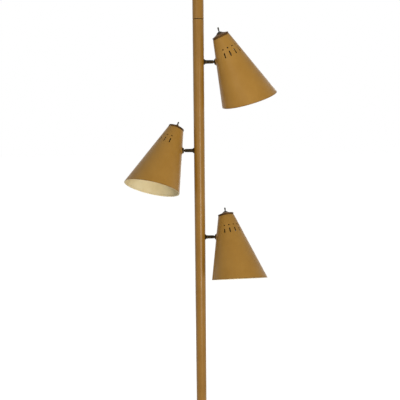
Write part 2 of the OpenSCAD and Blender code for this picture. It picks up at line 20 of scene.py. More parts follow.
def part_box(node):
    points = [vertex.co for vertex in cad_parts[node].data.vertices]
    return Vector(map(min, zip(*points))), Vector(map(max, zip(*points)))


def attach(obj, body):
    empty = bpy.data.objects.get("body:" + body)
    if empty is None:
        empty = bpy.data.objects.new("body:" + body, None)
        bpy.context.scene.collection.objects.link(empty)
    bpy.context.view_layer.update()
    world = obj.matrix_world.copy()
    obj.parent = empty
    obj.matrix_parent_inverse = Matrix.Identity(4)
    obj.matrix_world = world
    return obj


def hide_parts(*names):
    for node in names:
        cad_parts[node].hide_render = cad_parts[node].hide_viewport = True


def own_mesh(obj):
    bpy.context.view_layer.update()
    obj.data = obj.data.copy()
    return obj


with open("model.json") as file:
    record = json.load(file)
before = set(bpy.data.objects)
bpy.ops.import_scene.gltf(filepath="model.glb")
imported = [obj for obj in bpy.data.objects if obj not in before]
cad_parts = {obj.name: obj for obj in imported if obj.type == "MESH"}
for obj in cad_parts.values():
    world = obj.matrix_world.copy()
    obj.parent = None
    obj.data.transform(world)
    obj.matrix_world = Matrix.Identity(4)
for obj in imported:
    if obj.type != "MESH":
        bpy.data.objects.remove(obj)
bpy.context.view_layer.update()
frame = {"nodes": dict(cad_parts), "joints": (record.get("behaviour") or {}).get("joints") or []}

LOG = logging.getLogger("pole_lamp")

# One millimetre, in metres
MM = 0.001
# Sides of a turned piece, of a small one, and of a gauge that leaves a hollow round
SIDES = 96
FEW_SIDES = 64
GAUGE_SIDES = 192
# Radius that stands for a point on the axis until its ring is merged, in millimetres
POINT = 0.0005
# Points nearer than this are merged, in millimetres
WELD = 0.002
# Play between two parts that fit in each other, in millimetres
SNUG = 0.05
# An edge that turns by more than this is a corner, in degrees
CORNER = 32.0

HEAD_NAMES = ("top", "middle", "bottom")

Point = tuple[float, float]
Thing = bpy.types.Object
Tree = bpy.types.NodeTree
Socket = bpy.types.NodeSocket
FaceTest = Callable[[bmesh.types.BMFace], bool]


# ---------------------------------------------------------------- small helpers


def linear(code: str) -> tuple[float, float, float, float]:
    """Turns an sRGB hex colour into linear RGBA.

    Args:
        code: The colour, such as "#a87c3c".

    Returns:
        Linear red, green, blue and an alpha of 1.
    """
    channels = [int(code[i : i + 2], 16) / 255 for i in (1, 3, 5)]
    low = [c / 12.92 if c <= 0.04045 else ((c + 0.055) / 1.055) ** 2.4 for c in channels]
    return (low[0], low[1], low[2], 1.0)


def arc(x: float, z: float, radius: float, start: float, end: float, steps: int = 6) -> list[Point]:
    """Gives points along an arc of an outline.

    Args:
        x: Distance of the arc's centre from the turning axis.
        z: Height of the arc's centre.
        radius: The arc's radius.
        start: First angle in degrees, from the outward direction.
        end: Last angle in degrees.
        steps: Number of straight steps along the arc.

    Returns:
        (radius, height) points.
    """
    turns = [math.radians(start + (end - start) * i / steps) for i in range(steps + 1)]
    return [(x + radius * math.cos(t), z + radius * math.sin(t)) for t in turns]


def node_span(node: str) -> tuple[float, float]:
    """Gives the lowest and highest Z of a construction node, in millimetres."""
    low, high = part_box(node)
    return low.z / MM, high.z / MM


def node_radius(node: str) -> float:
    """Gives the greatest reach of a round upright node along Y, in millimetres."""
    low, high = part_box(node)
    return (high.y - low.y) / 2 / MM


def joint_centre(name: str) -> Vector:
    """Gives the point that a joint turns about, in millimetres."""
    joint = next(j for j in frame["joints"] if j["name"] == name)
    return Vector(joint["pos_m"]) / MM


# ---------------------------------------------------------------- the bench


class Kind(Enum):
    """What a selection in edit mode picks."""

    VERT = "verts"
    EDGE = "edges"
    FACE = "faces"


def hands_off() -> None:
    """Leaves edit mode and deselects every object."""
    active = bpy.context.view_layer.objects.active
    if active is not None and active.mode != "OBJECT":
        bpy.ops.object.mode_set(mode="OBJECT")
    bpy.ops.object.select_all(action="DESELECT")


def take(obj: Thing, editing: bool = False) -> None:
    """Makes one object the only one selected.

    Args:
        obj: The object to work on.
        editing: True to go into edit mode.
    """
    hands_off()
    obj.select_set(True)
    bpy.context.view_layer.objects.active = obj
    if editing:
        bpy.ops.object.mode_set(mode="EDIT")


def label(obj: Thing, name: str) -> Thing:
    """Names an object and its mesh.

    Args:
        obj: The object.
        name: The name of both.

    Returns:
        The object.
    """
    obj.name = name
    obj.data.name = name
    return obj


def pick(obj: Thing, kind: Kind, test: Callable[..., bool]) -> int:
    """Selects in edit mode what passes a test, and nothing else.

    Args:
        obj: The object in edit mode.
        kind: Whether vertices, edges or faces are picked.
        test: Takes a mesh element and says whether it is wanted.

    Returns:
        How many were picked.
    """
    bpy.ops.mesh.select_mode(type=kind.name)
    bpy.ops.mesh.select_all(action="DESELECT")
    mesh = bmesh.from_edit_mesh(obj.data)
    wanted = [e for e in getattr(mesh, kind.value) if test(e)]
    for element in wanted:
        element.select_set(True)
    mesh.select_flush_mode()
    bmesh.update_edit_mesh(obj.data)
    return len(wanted)


def merge(obj: Thing) -> None:
    """Merges a mesh's doubled points, and stays in edit mode with all of it selected."""
    take(obj, editing=True)
    bpy.ops.mesh.select_all(action="SELECT")
    bpy.ops.mesh.remove_doubles(threshold=WELD * MM)


def weld(obj: Thing) -> None:
    """Merges a mesh's doubled points and turns its faces outwards.

    Args:
        obj: The piece.
    """
    merge(obj)
    bpy.ops.mesh.normals_make_consistent(inside=False)
    if bmesh.from_edit_mesh(obj.data).calc_volume(signed=True) < 0:
        bpy.ops.mesh.flip_normals()
    hands_off()


def turned(name: str, outline: Sequence[Point], sides: int = SIDES) -> Thing:
    """Turns a piece: a ring is added at the outline's start and extruded from point to point.

    Args:
        name: The piece's name.
        outline: (radius, height) points. A radius of 0 closes the end in a pole, and an
            outline that ends where it starts closes on itself.
        sides: Number of sides of the ring.

    Returns:
        The turned object.
    """
    hands_off()
    radius, height = outline[0]
    bpy.ops.mesh.primitive_circle_add(vertices=sides, radius=max(radius, POINT) * MM)
    obj = label(bpy.context.object, name)
    bpy.ops.object.mode_set(mode="EDIT")
    bpy.ops.mesh.select_mode(type="EDGE")
    bpy.ops.mesh.select_all(action="SELECT")
    bpy.ops.transform.translate(value=(0, 0, height * MM))
    for next_radius, next_height in outline[1:]:
        rise = (next_height - height) * MM
        bpy.ops.mesh.extrude_edges_move(TRANSFORM_OT_translate={"value": (0, 0, rise)})
        share = max(next_radius, POINT) / max(radius, POINT)
        centre = (0, 0, next_height * MM)
        bpy.ops.transform.resize(value=(share, share, 1), center_override=centre)
        radius, height = next_radius, next_height
    weld(obj)
    return obj


def soften(obj: Thing, width: float, segments: int = 3, angle: float = CORNER) -> Thing:
    """Rounds a piece's sharp edges with an applied bevel.

    Where an edge has no room the bevel comes out with no width, and its points are merged.

    Args:
        obj: The piece.
        width: Width of the rounding in millimetres.
        segments: Faces across the rounding.
        angle: Edges sharper than this, in degrees, are rounded.

    Returns:
        The piece.
    """
    take(obj)
    bpy.ops.object.modifier_add(type="BEVEL")
    bevel = obj.modifiers[-1]
    bevel.width = width * MM
    bevel.segments = segments
    bevel.limit_method = "ANGLE"
    bevel.angle_limit = math.radians(angle)
    bpy.ops.object.modifier_apply(modifier=bevel.name)
    merge(obj)
    hands_off()
    return obj


class Cut(Enum):
    """What is done to a piece with a tool."""

    AWAY = "DIFFERENCE"
    ADDED = "UNION"
    BOUND = "INTERSECT"


def machine(obj: Thing, tool: Thing, cut: Cut = Cut.AWAY) -> Thing:
    """Works a piece with a tool, which is used up.

    Args:
        obj: The piece that stays.
        tool: The tool.
        cut: Whether the tool is cut away from the piece, added to it or bounds it.

    Returns:
        The piece.
    """
    take(obj)
    bpy.ops.object.modifier_add(type="BOOLEAN")
    work = obj.modifiers[-1]
    work.object = tool
    work.operation = cut.value
    work.solver = "EXACT"
    bpy.ops.object.modifier_apply(modifier=work.name)
    bpy.data.objects.remove(tool)
    return obj


def copy_of(obj: Thing, name: str, place: Matrix) -> Thing:
    """Copies a piece with its own mesh, and sets the copy in a place.

    Args:
        obj: The piece.
        name: The copy's name.
        place: The copy's place, in metres.

    Returns:
        The copy.
    """
    twin = obj.copy()
    twin.data = obj.data.copy()
    bpy.context.scene.collection.objects.link(twin)
    twin.data.transform(place)
    return label(twin, name)


def joined(name: str, objs: Sequence[Thing]) -> Thing:
    """Joins several objects into one.

    Args:
        name: The name of the whole.
        objs: The objects.

    Returns:
        The first object, with all the others in it.
    """
    take(objs[0])
    for obj in objs[1:]:
        obj.select_set(True)
    bpy.ops.object.join()
    return label(objs[0], name)


def rod(name: str, radius: float, low: float, high: float, sides: int = SIDES) -> Thing:
    """Adds a plain upright cylinder, as a tool for cutting.

    Args:
        name: The tool's name.
        radius: Its radius.
        low: Height of its lower end.
        high: Height of its upper end.
        sides: Number of its sides.

    Returns:
        The tool.
    """
    hands_off()
    bpy.ops.mesh.primitive_cylinder_add(vertices=sides, radius=radius * MM, depth=(high - low) * MM)
    obj = label(bpy.context.object, name)
    obj.data.transform(Matrix.Translation((0, 0, (low + high) / 2 * MM)))
    return obj


class Mark(Enum):
    """A number that each point of a mesh carries for its finish."""

    LATHE = "lathe"
    WEAR = "wear"
    # Painted shade: marks the shades' groove and the mouth's outer rim, which the enamel darkens.
    GRIME = "grime"


class Rub(Enum):
    """How much of an edge's finish is rubbed away."""

    LIGHT = 0.5
    HARD = 0.6


def mark(obj: Thing, kind: Mark, rule: Callable[[Vector], float]) -> Thing:
    """Writes a number on each point of a mesh, for its finish to read.

    Args:
        obj: The piece, still upright about its own axis.
        kind: What the number stands for.
        rule: Takes a point in millimetres and gives the number.

    Returns:
        The piece.
    """
    attribute = obj.data.attributes.new(kind.value, "FLOAT", "POINT")
    for point, entry in zip(obj.data.vertices, attribute.data):
        entry.value = rule(point.co / MM)
    return obj


def rub(obj: Thing, share: Rub, test: Callable[[Vector], bool]) -> Thing:
    """Marks the points that are rubbed, which a test picks by their place in millimetres."""
    return mark(obj, Mark.WEAR, lambda point: share.value if test(point) else 0.0)


def from_frame(node: str, name: str) -> Thing:
    """Makes a welded copy of a construction node's mesh.

    Args:
        node: The construction node.
        name: The new piece's name.

    Returns:
        The copy.
    """
    source = frame["nodes"][node]
    obj = bpy.data.objects.new(name, source.data.copy())
    obj.data.name = name
    obj.data.materials.clear()
    bpy.context.scene.collection.objects.link(obj)
    take(obj, editing=True)
    bpy.ops.mesh.customdata_custom_splitnormals_clear()
    bpy.ops.mesh.select_all(action="SELECT")
    bpy.ops.mesh.remove_doubles(threshold=WELD * MM)
    hands_off()
    return obj


# ---------------------------------------------------------------- finishes


def add(
    tree: Tree, kind: str, settings: dict | None = None, links: dict | None = None
) -> bpy.types.Node:
    """Adds a node with its settings and links.

    Args:
        tree: The material's node tree.
        kind: The node's type, without its "ShaderNode" prefix.
        settings: Values by property name, input name or input number.
        links: Output sockets by input name or number.

    Returns:
        The node.
    """
    node = tree.nodes.new("ShaderNode" + kind)
    for key, value in (settings or {}).items():
        if isinstance(key, int) or key in node.inputs:
            node.inputs[key].default_value = value
        else:
            setattr(node, key, value)
    for key, socket in (links or {}).items():
        tree.links.new(socket, node.inputs[key])
    return node


def grain(size_mm: float, detail: float = 2.0) -> dict[str, float]:
    """Gives the settings of a soft noise whose features are about size_mm across."""
    return {"Scale": 1 / (size_mm * MM), "Detail": detail, "Roughness": 0.55}


@dataclass(frozen=True)
class Breaks:
    """How a rubbed place, or a place of painted shade, breaks up at its edge.

    Attributes:
        size_mm: Size of the breaks.
        detail: How fine they are.
        start: Level of the noise up to which the place is faint.
        faint: What shows of the place there.
        end: Level of the noise from which it shows in full.
    """

    size_mm: float
    detail: float
    start: float
    faint: float
    end: float = 0.6


@dataclass(frozen=True)
class Finish:
    """A surface: its stuff, how it was made, and the pattern that this leaves.

    Attributes:
        label: The material's name, for what the real one is.
        slot: The record's material slot. Not used.
        base: Main colour, sRGB hex.
        tone: Colour that the base drifts to in soft patches, sRGB hex.
        roughness: Mean roughness of the surface.
        spread: How far the roughness drifts to each side.
        patch_mm: Size of the patches of colour.
        grain_mm: Spacing of the fine relief.
        grain_um: Height of the fine relief, in thousandths of a millimetre.
        metallic: 1 for bare metal, 0 for paint, plastic and rubber.
        breaks: How a rubbed place, or a place of painted shade, breaks up.
    """

    label: str
    slot: str
    base: str
    tone: str
    roughness: float
    spread: float = 0.05
    patch_mm: float = 35.0
    grain_mm: float = 1.2
    grain_um: float = 8.0
    metallic: float = 0.0
    breaks: Breaks = Breaks(1.8, 4.0, 0.35, 0.2)

    def material(self) -> bpy.types.Material:
        """Makes the finish's material at the first call, and finds it from then on.

        Returns:
            The material.
        """
        found = bpy.data.materials.get(self.label)
        if found is not None:
            return found
        made = bpy.data.materials.new(self.label)
        made.use_nodes = True
        tree = made.node_tree
        tree.nodes.clear()
        coords = add(tree, "TexCoord").outputs["Object"]
        soft = grain(self.patch_mm, detail=3.0)
        patches = add(tree, "TexNoise", soft, {"Vector": coords}).outputs[0]
        drift = {1: 0.3, 2: 0.7, 3: self.roughness - self.spread, 4: self.roughness + self.spread}
        rough = add(tree, "MapRange", drift, {0: patches}).outputs[0]
        depth = {"Strength": 1.0, "Distance": self.grain_um * MM * MM}
        bump = add(tree, "Bump", depth, {"Height": self.relief(tree, coords)}).outputs[0]
        colour = self.colour(tree, coords, patches)
        own = {"Metallic": self.metallic, **self.extras()}
        links = {"Base Color": colour, "Roughness": rough, "Normal": bump}
        shader = add(tree, "BsdfPrincipled", own, links)
        add(tree, "OutputMaterial", links={"Surface": shader.outputs[0]})
        return made

    def colour(self, tree: Tree, coords: Socket, patches: Socket) -> Socket:
        """Gives the colour: the base, drifting to the tone in soft patches.

        Args:
            tree: The material's node tree.
            coords: The piece's own coordinates.
            patches: The noise of the soft patches.

        Returns:
            The colour.
        """
        share = add(tree, "MapRange", {1: 0.35, 2: 0.7, 3: 0.0, 4: 1.0}, {0: patches}).outputs[0]
        both = {"data_type": "RGBA", 6: linear(self.base), 7: linear(self.tone)}
        return add(tree, "Mix", both, {0: share}).outputs[2]

    def relief(self, tree: Tree, coords: Socket) -> Socket:
        """Gives the height of the fine relief, from 0 to 1."""
        return add(tree, "TexNoise", grain(self.grain_mm), {"Vector": coords}).outputs[0]

    def extras(self) -> dict[str, object]:
        """Gives further settings of the shader."""
        return {}

    def over(self, tree: Tree, coords: Socket, under: Socket, kind: Mark, colour: str) -> Socket:
        """Lays a colour over another where the mesh is marked, with a broken edge.

        Args:
            tree: The material's node tree.
            coords: The piece's own coordinates.
            under: The colour that is there.
            kind: The mark that says where the new colour lies.
            colour: The new colour, sRGB hex.

        Returns:
            The colour of both.
        """
        noise = grain(self.breaks.size_mm, self.breaks.detail)
        broken = add(tree, "TexNoise", noise, {"Vector": coords}).outputs[0]
        edge = {1: self.breaks.start, 2: self.breaks.end, 3: self.breaks.faint, 4: 1.0}
        ragged = add(tree, "MapRange", edge, {0: broken}).outputs[0]
        amount = add(tree, "Attribute", {"attribute_name": kind.value}).outputs["Fac"]
        share = add(tree, "Math", {"operation": "MULTIPLY"}, {0: amount, 1: ragged}).outputs[0]
        both = {"data_type": "RGBA", 7: linear(colour)}
        return add(tree, "Mix", both, {0: share, 6: under}).outputs[2]

    def ringed(self, tree: Tree, coords: Socket, ring_mm: float, detail: float) -> Socket:
        """Gives a relief with the rings of turning or spinning, which follow the outline.

        Args:
            tree: The material's node tree.
            coords: The piece's own coordinates.
            ring_mm: Spacing of the rings.
            detail: How fine their unevenness is.

        Returns:
            The height of the plain relief and the rings together.
        """
        along = add(tree, "Attribute", {"attribute_name": Mark.LATHE.value}).outputs["Fac"]
        noise = {"noise_dimensions": "1D", "Scale": 1 / ring_mm, "Detail": detail}
        rings = add(tree, "TexNoise", noise, {"W": along}).outputs[0]
        plain = Finish.relief(self, tree, coords)
        return add(tree, "Math", {"operation": "ADD"}, {0: plain, 1: rings}).outputs[0]


@dataclass(frozen=True)
class BakedEnamel(Finish):
    """Sprayed and baked enamel on spun or drawn metal.

    It has the soft ripple of sprayed paint, faint rings where the metal under it was spun,
    painted shade in a groove and on the mouth's rim, and a thin worn line along its edges.

    Attributes:
        breaks: How a rubbed place, or a place of painted shade, breaks up, larger than on bare
            metal.
        worn: Colour that shows where an edge is worn, sRGB hex.
        grime: Colour of the dust specks, and of the painted shade in grooves and on the mouth's
            rim, sRGB hex.
        ring_mm: Spacing of the spinning rings, coarser than the real ones so that they show.
        gloss: Strength of the paint's shine, less than 0.5 where it has gone dull.
    """

    breaks: Breaks = Breaks(3.5, 5.0, 0.38, 0.15)
    worn: str = "#b08b50"
    grime: str = "#5c431f"
    ring_mm: float = 1.6
    gloss: float = 0.25

    def extras(self) -> dict[str, object]:
        """Gives the gloss that the enamel has kept."""
        return {"Specular IOR Level": self.gloss}

    def colour(self, tree: Tree, coords: Socket, patches: Socket) -> Socket:
        """Gives the paint's colour with its dust, its painted shade and its worn edges.

        Args:
            tree: The material's node tree.
            coords: The piece's own coordinates.
            patches: The noise of the soft patches.

        Returns:
            The colour.
        """
        paint = super().colour(tree, coords, patches)
        specks = add(tree, "TexNoise", grain(0.9, detail=4.0), {"Vector": coords}).outputs[0]
        dust = add(tree, "MapRange", {1: 0.62, 2: 0.8, 3: 0.0, 4: 0.35}, {0: specks}).outputs[0]
        both = {"data_type": "RGBA", 7: linear(self.grime)}
        paint = add(tree, "Mix", both, {0: dust, 6: paint}).outputs[2]
        # Painted shade: the enamel is darkened where the groove and the mouth's rim are marked.
        paint = self.over(tree, coords, paint, Mark.GRIME, self.grime)
        return self.over(tree, coords, paint, Mark.WEAR, self.worn)

    def relief(self, tree: Tree, coords: Socket) -> Socket:
        """Gives the spray's ripple with the spinning rings under it."""
        return self.ringed(tree, coords, self.ring_mm, detail=2.0)


@dataclass(frozen=True)
class TurnedMetal(Finish):
    """Metal from the lathe, plated, blackened or lacquered, with fine rings round its axis.

    Attributes:
        metallic: 1 for bare metal.
        bright: Colour where handling has rubbed the edges, sRGB hex.
        ring_mm: Spacing of the tool's rings, coarser than the real ones so that they show.
    """

    metallic: float = 1.0
    bright: str = "#8d7350"
    ring_mm: float = 0.5

    def colour(self, tree: Tree, coords: Socket, patches: Socket) -> Socket:
        """Gives the metal's colour, rubbed bright along its edges."""
        metal = super().colour(tree, coords, patches)
        return self.over(tree, coords, metal, Mark.WEAR, self.bright)

    def relief(self, tree: Tree, coords: Socket) -> Socket:
        """Gives fine tool rings, with a little unevenness."""
        return self.ringed(tree, coords, self.ring_mm, detail=3.0)


@dataclass(frozen=True)
class MouldedRubber(Finish):
    """Moulded rubber or nylon: matt and fine-grained, with a pale bloom in patches."""

    def extras(self) -> dict[str, object]:
        """Gives the soft sheen of dusty rubber."""
        return {"Sheen Weight": 0.15, "Sheen Roughness": 0.5, "IOR": 1.52}


@dataclass(frozen=True)
class MouldedPhenolic(Finish):
    """Moulded phenolic: dark, hard and glossy, faintly clouded, with flow marks."""

    def extras(self) -> dict[str, object]:
        """Gives the IOR of phenolic."""
        return {"IOR": 1.6}


@dataclass(frozen=True)
class FrostedGlass(Finish):
    """Thin glass that is etched inside: smooth and glossy outside, milky behind."""

    def extras(self) -> dict[str, object]:
        """Gives the light that passes through the thin milky wall."""
        soft = {"Subsurface Weight": 0.35, "Subsurface Scale": 0.006, "IOR": 1.5}
        return {**soft, "Subsurface Radius": (1.0, 0.9, 0.75), "Transmission Weight": 0.12}


# Enamel sprayed on the drawn tube: a little duller and browner than the shades
POLE_ENAMEL = BakedEnamel(
    "pole_tan_enamel", "pole_enamel", "#956b26", "#8d6420", 0.33, grain_um=3.0, gloss=0.3
)
# Enamel on the spun cones: mustard tan, satin, with a fine spray ripple
SHADE_ENAMEL = BakedEnamel(
    "shade_mustard_enamel", "shade_enamel", "#a87d35", "#a1762f", 0.42, grain_um=6.0
)
# Cream enamel sprayed inside the cones, matt and a little yellowed by heat; its darker colour
# serves the dust specks and the painted shade at the rim
CREAM_ENAMEL = BakedEnamel(
    "shade_cream_enamel", "shade_enamel", "#ddd1ad", "#d2c197", 0.5, grime="#9a7f50"
)
# Oil-rubbed bronze on the arms, collars and turned ends: near black with brown lights
DARK_BRONZE = TurnedMetal(
    "oil_rubbed_bronze", "bronze", "#2d2519", "#261f16", 0.42, patch_mm=14.0, bright="#6b563a"
)
# Bronze drawn into the plunger tube and worn smooth by its bushing
DRAWN_BRONZE = TurnedMetal(
    "drawn_bronze_tube", "bronze", "#3d3021", "#372b1e", 0.34, spread=0.02, patch_mm=45.0,
    grain_um=0.8, bright="#7a6444"
)
# Blackened brass of the sleeves, whose dull bead is the dark line in each seam; its near-black
# colour is partly painted shade for the shadow in the seam's gap
BLACKENED_BRASS_SEAM_SHADE = TurnedMetal(
    "blackened_brass", "bronze", "#241c13", "#1b150e", 0.6, patch_mm=14.0, bright="#4a3a25"
)
# Dark brown lacquer over spun brass on the shades' caps
CAP_BRONZE = TurnedMetal(
    "brown_lacquered_brass", "cap_bronze", "#624828", "#513a20", 0.55, patch_mm=12.0,
    bright="#7d5c38"
)
# Aged nickel on the levers and ring nuts: dark grey with a green-brown cast
AGED_NICKEL = TurnedMetal(
    "aged_nickel_plate", "aged_nickel", "#3b3a31", "#2f2e26", 0.42, patch_mm=4.0, bright="#63625a"
)
# Zinc plate on hidden nuts, straps and seats
ZINC_PLATE = TurnedMetal(
    "dull_zinc_plate", "bright_steel", "#9c9a95", "#86847e", 0.42, patch_mm=6.0, bright="#b9b7b1"
)
# Oiled spring wire, dark and smooth
SPRING_WIRE = TurnedMetal(
    "oiled_spring_wire", "spring_steel", "#6f6c68", "#55524e", 0.35, patch_mm=5.0
)
# Rolled brass of the screw shells, bright where the bulb turns in it
ROLLED_BRASS = TurnedMetal(
    "rolled_brass", "shell_brass", "#c79d4e", "#b0883f", 0.28, patch_mm=5.0, bright="#dcb76a"
)
# Rolled aluminium of the bulbs' screw bases
ROLLED_ALUMINIUM = TurnedMetal(
    "rolled_aluminium", "bulb_aluminium", "#c2c0bb", "#acaaa4", 0.33, patch_mm=5.0,
    bright="#d8d6d1"
)
# Black rubber of the two end pads, dusty and dull
PAD_RUBBER = MouldedRubber(
    "moulded_black_rubber", "rubber", "#1d1b19", "#292623", 0.7, grain_um=20.0
)
# Nylon of the grommet, with a fine moulded grain
NYLON = MouldedRubber(
    "moulded_dark_nylon", "grommet_nylon", "#332d28", "#3b352f", 0.5, grain_um=6.0
)
# Phenolic of the sockets and switches, dark brown and hard
PHENOLIC = MouldedPhenolic(
    "moulded_phenolic", "phenolic", "#2e2622", "#3a2f29", 0.3, patch_mm=7.0
)
# Inside-frosted bulb glass, warm white and even
BULB_GLASS = FrostedGlass(
    "inside_frosted_glass", "bulb_glass", "#f3efe6", "#efe9dc", 0.16, grain_um=1.0
)


def coated(obj: Thing, first: Finish, *others: tuple[Finish, FaceTest]) -> Thing:
    """Gives a piece several finishes.

    Args:
        obj: The piece.
        first: The finish of all faces that no other takes.
        others: Further finishes, each with a test that picks its faces.

    Returns:
        The piece.
    """
    obj.data.materials.clear()
    for finish in (first, *(other for other, _ in others)):
        obj.data.materials.append(finish.material())
    take(obj, editing=True)
    for number, (_, test) in enumerate(others, start=1):
        pick(obj, Kind.FACE, test)
        obj.active_material_index = number
        bpy.ops.object.material_slot_assign()
    hands_off()
    return obj


# ---------------------------------------------------------------- pieces


@dataclass
class Piece:
    """A finished object, what it is made of, what it moves with and what it stands for.

    Attributes:
        obj: The object, still about its own axis.
        finish: Its finish.
        body: The construction body that it rides on.
        nodes: The construction nodes that it replaces.
        place: Its place on the lamp, in metres.
    """

    obj: Thing
    finish: Finish
    body: str
    nodes: tuple[str, ...] = ()
    place: Matrix = field(default_factory=Matrix)

    def settle(self) -> None:
        """Sets the piece in its place, dresses it, and hands it to its body."""
        self.obj.data.transform(self.place)
        if not self.obj.data.materials:
            self.obj.data.materials.append(self.finish.material())
        take(self.obj)
        bpy.ops.object.shade_smooth_by_angle(angle=math.radians(CORNER))
        hands_off()
        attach(self.obj, self.body)
        if self.nodes:
            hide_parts(*self.nodes)
        LOG.info("%s: %d faces, rides on %s", self.obj.name, len(self.obj.data.polygons), self.body)


@dataclass
class SqueezedPiece(Piece):
    """A springy piece, with the joint that would shorten it along Z.

    Attributes:
        joint: The joint that would squeeze it. Not used.
        anchor: Height of its end that would stay, in millimetres. Not used.
        keep: The share of its length that would be left at the joint's limit. Not used.
    """

    joint: str = ""
    anchor: float = 0.0
    keep: float = 1.0

    def settle(self) -> None:
        """Settles the piece and gives it a mesh of its own."""
        super().settle()
        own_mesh(self.obj)


def lathe_marks(obj: Thing, place: Matrix = Matrix()) -> Thing:
    """Marks each point with its way along the outline, which a finish draws rings by.

    Args:
        obj: The piece.
        place: The place that the piece already has, in metres.

    Returns:
        The piece.
    """
    back = place.inverted()

    def along(point: Vector) -> float:
        """Gives a point's way along the outline, about the piece's own axis."""
        own = back @ (point * MM) / MM
        return math.hypot(own.x, own.y) - own.z

    return mark(obj, Mark.LATHE, along)


@dataclass
class Pole:
    """The three sections of tube, the dark beads at their seams, and the cord's outlet.

    Attributes:
        wall: The tube's wall.
        edge: Rounding of the tube's cut ends.
        lip: Length of the worn lip at each end.
        lip_wear: How worn the lip is at its very end, from 0 to 1.
        bead_h: Height of the bead in a seam.
        bead_back: How far the bead lies back from the tube's face.
        sleeve_wall: Wall of the sleeve inside a seam.
        sleeve_lead: Depth and length of the taper at a sleeve's ends.
        arm_hole_r: Radius of the holes that the arms' tails go through.
        outlet_hole_r: Radius of the hole for the grommet.
        outlet_bore_r: Radius of the grommet's bore.
        flange_round: Rounding of the grommet's flange.
        flange_under: Depth below the tube's face that the flange is turned from.
        mouth_round: Rounding of the grommet's mouth.
    """

    wall: float = 1.0
    edge: float = 0.6
    lip: float = 0.7
    lip_wear: float = 0.7
    bead_h: float = 1.6
    bead_back: float = 0.35
    sleeve_wall: float = 1.2
    sleeve_lead: Point = (1.0, 3.0)
    arm_hole_r: float = 3.3
    outlet_hole_r: float = 4.8
    outlet_bore_r: float = 3.2
    flange_round: float = 1.2
    flange_under: float = 1.8
    mouth_round: float = 1.0

    def __post_init__(self) -> None:
        """Reads the tube's size and the heights of the arms from the frame."""
        self.radius = node_radius("middle_pole")
        self.arm_heights = [joint_centre(f"{head}_arm_roll").z for head in HEAD_NAMES]

    def section(self, node: str) -> Thing:
        """Makes one section of tube, with rolled ends and worn lips.

        Rings near both ends of the long outer wall keep the wear at the lips.

        Args:
            node: The section's construction node.

        Returns:
            The section.
        """
        low, high = node_span(node)
        inner, outer, near = self.radius - self.wall, self.radius, 2 * self.lip
        outline = [(inner, low), (outer, low), (outer, low + near), (outer, high - near)]
        outline += [(outer, high), (inner, high), (inner, low)]
        tube = turned(node + "_tube", outline)
        for height, radius, way in self.holes(node):
            drill = rod("drill", radius, 0, 2 * outer)
            drill.data.transform(way.to_track_quat("Z", "Y").to_matrix().to_4x4())
            drill.data.transform(Matrix.Translation((0, 0, height * MM)))
            machine(tube, drill)
        soften(tube, self.edge, segments=4, angle=60)

        def wear(point: Vector) -> float:
            """Says how worn a point is, from the section's end to nothing past its lip."""
            reach = min(abs(point.z - low), abs(high - point.z))
            return self.lip_wear * max(0.0, 1.0 - reach / self.lip)

        return lathe_marks(mark(tube, Mark.WEAR, wear))

    def holes(self, node: str) -> list[tuple[float, float, Vector]]:
        """Lists the holes in a section.

        Args:
            node: The section's construction node.

        Returns:
            The height, the radius and the way out of each hole.
        """
        if node == "middle_pole":
            sides = zip(self.arm_heights, (1, -1, 1))
            return [(height, self.arm_hole_r, Vector((side, 0, 0))) for height, side in sides]
        if node == "lower_pole":
            low, high = node_span("cord_grommet")
            return [((low + high) / 2, self.outlet_hole_r, Vector((0, 1, 0)))]
        return []

    def sleeve(self, node: str) -> Thing:
        """Makes the sleeve inside a seam, with the bead that shows between the sections.

        Args:
            node: The sleeve's construction node.

        Returns:
            The sleeve.
        """
        low, high = node_span(node)
        seam = (low + high) / 2
        outer = self.radius - self.wall - SNUG
        inner = outer - self.sleeve_wall
        half = self.bead_h / 2
        thin, run = self.sleeve_lead
        bead = arc(self.radius - self.bead_back - half, seam, half, -90, 90, 8)
        foot = [(inner, low), (outer - thin, low), (outer, low + run), (outer, seam - half)]
        head = [(outer, seam + half), (outer, high - run), (outer - thin, high), (inner, high)]
        return lathe_marks(turned(node + "_sleeve", foot + bead + head + foot[:1]))

    def grommet(self) -> Piece:
        """Makes the grommet that lines the cord's outlet, hollowed to sit on the round tube.

        Returns:
            The finished piece.
        """
        low, high = node_span("cord_grommet")
        near, far = (corner.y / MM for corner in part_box("cord_grommet"))
        flange, bore = (high - low) / 2, self.outlet_bore_r
        neck = self.outlet_hole_r - SNUG
        outline = [(bore, near), (neck, near), (neck, self.radius - self.wall)]
        outline += [(flange, self.radius - self.flange_under)]
        edge, mouth = self.flange_round, self.mouth_round
        outline += arc(flange - edge, far - edge, edge, 0, 90)
        outline += arc(bore + mouth, far - mouth, mouth, 90, 180)
        ring = turned("outlet_grommet", outline + outline[:1], sides=FEW_SIDES)
        wall = rod("tube_gauge", self.radius + 0.02, -3 * flange, 3 * flange, GAUGE_SIDES)
        spare = rod("neck_gauge", neck, -2 * self.radius, 2 * self.radius, FEW_SIDES)
        wall.data.transform(Matrix.Rotation(math.pi / 2, 4, "X"))
        machine(wall, spare)
        machine(ring, wall)
        lift = Matrix.Translation((0, 0, (low + high) / 2 * MM))
        place = lift @ Matrix.Rotation(-math.pi / 2, 4, "X")
        return Piece(soften(ring, 0.2, 2), NYLON, "root", ("cord_grommet",), place)

    def build(self) -> list[Piece]:
        """Makes all the pole's pieces.

        Returns:
            The pieces.
        """
        nodes = ("lower_pole", "middle_pole", "upper_pole")
        pieces = [Piece(self.section(node), POLE_ENAMEL, "root", (node,)) for node in nodes]
        for node in ("lower_ferrule", "upper_ferrule"):
            pieces.append(Piece(self.sleeve(node), BLACKENED_BRASS_SEAM_SHADE, "root", (node,)))
        pieces.append(self.grommet())
        return pieces


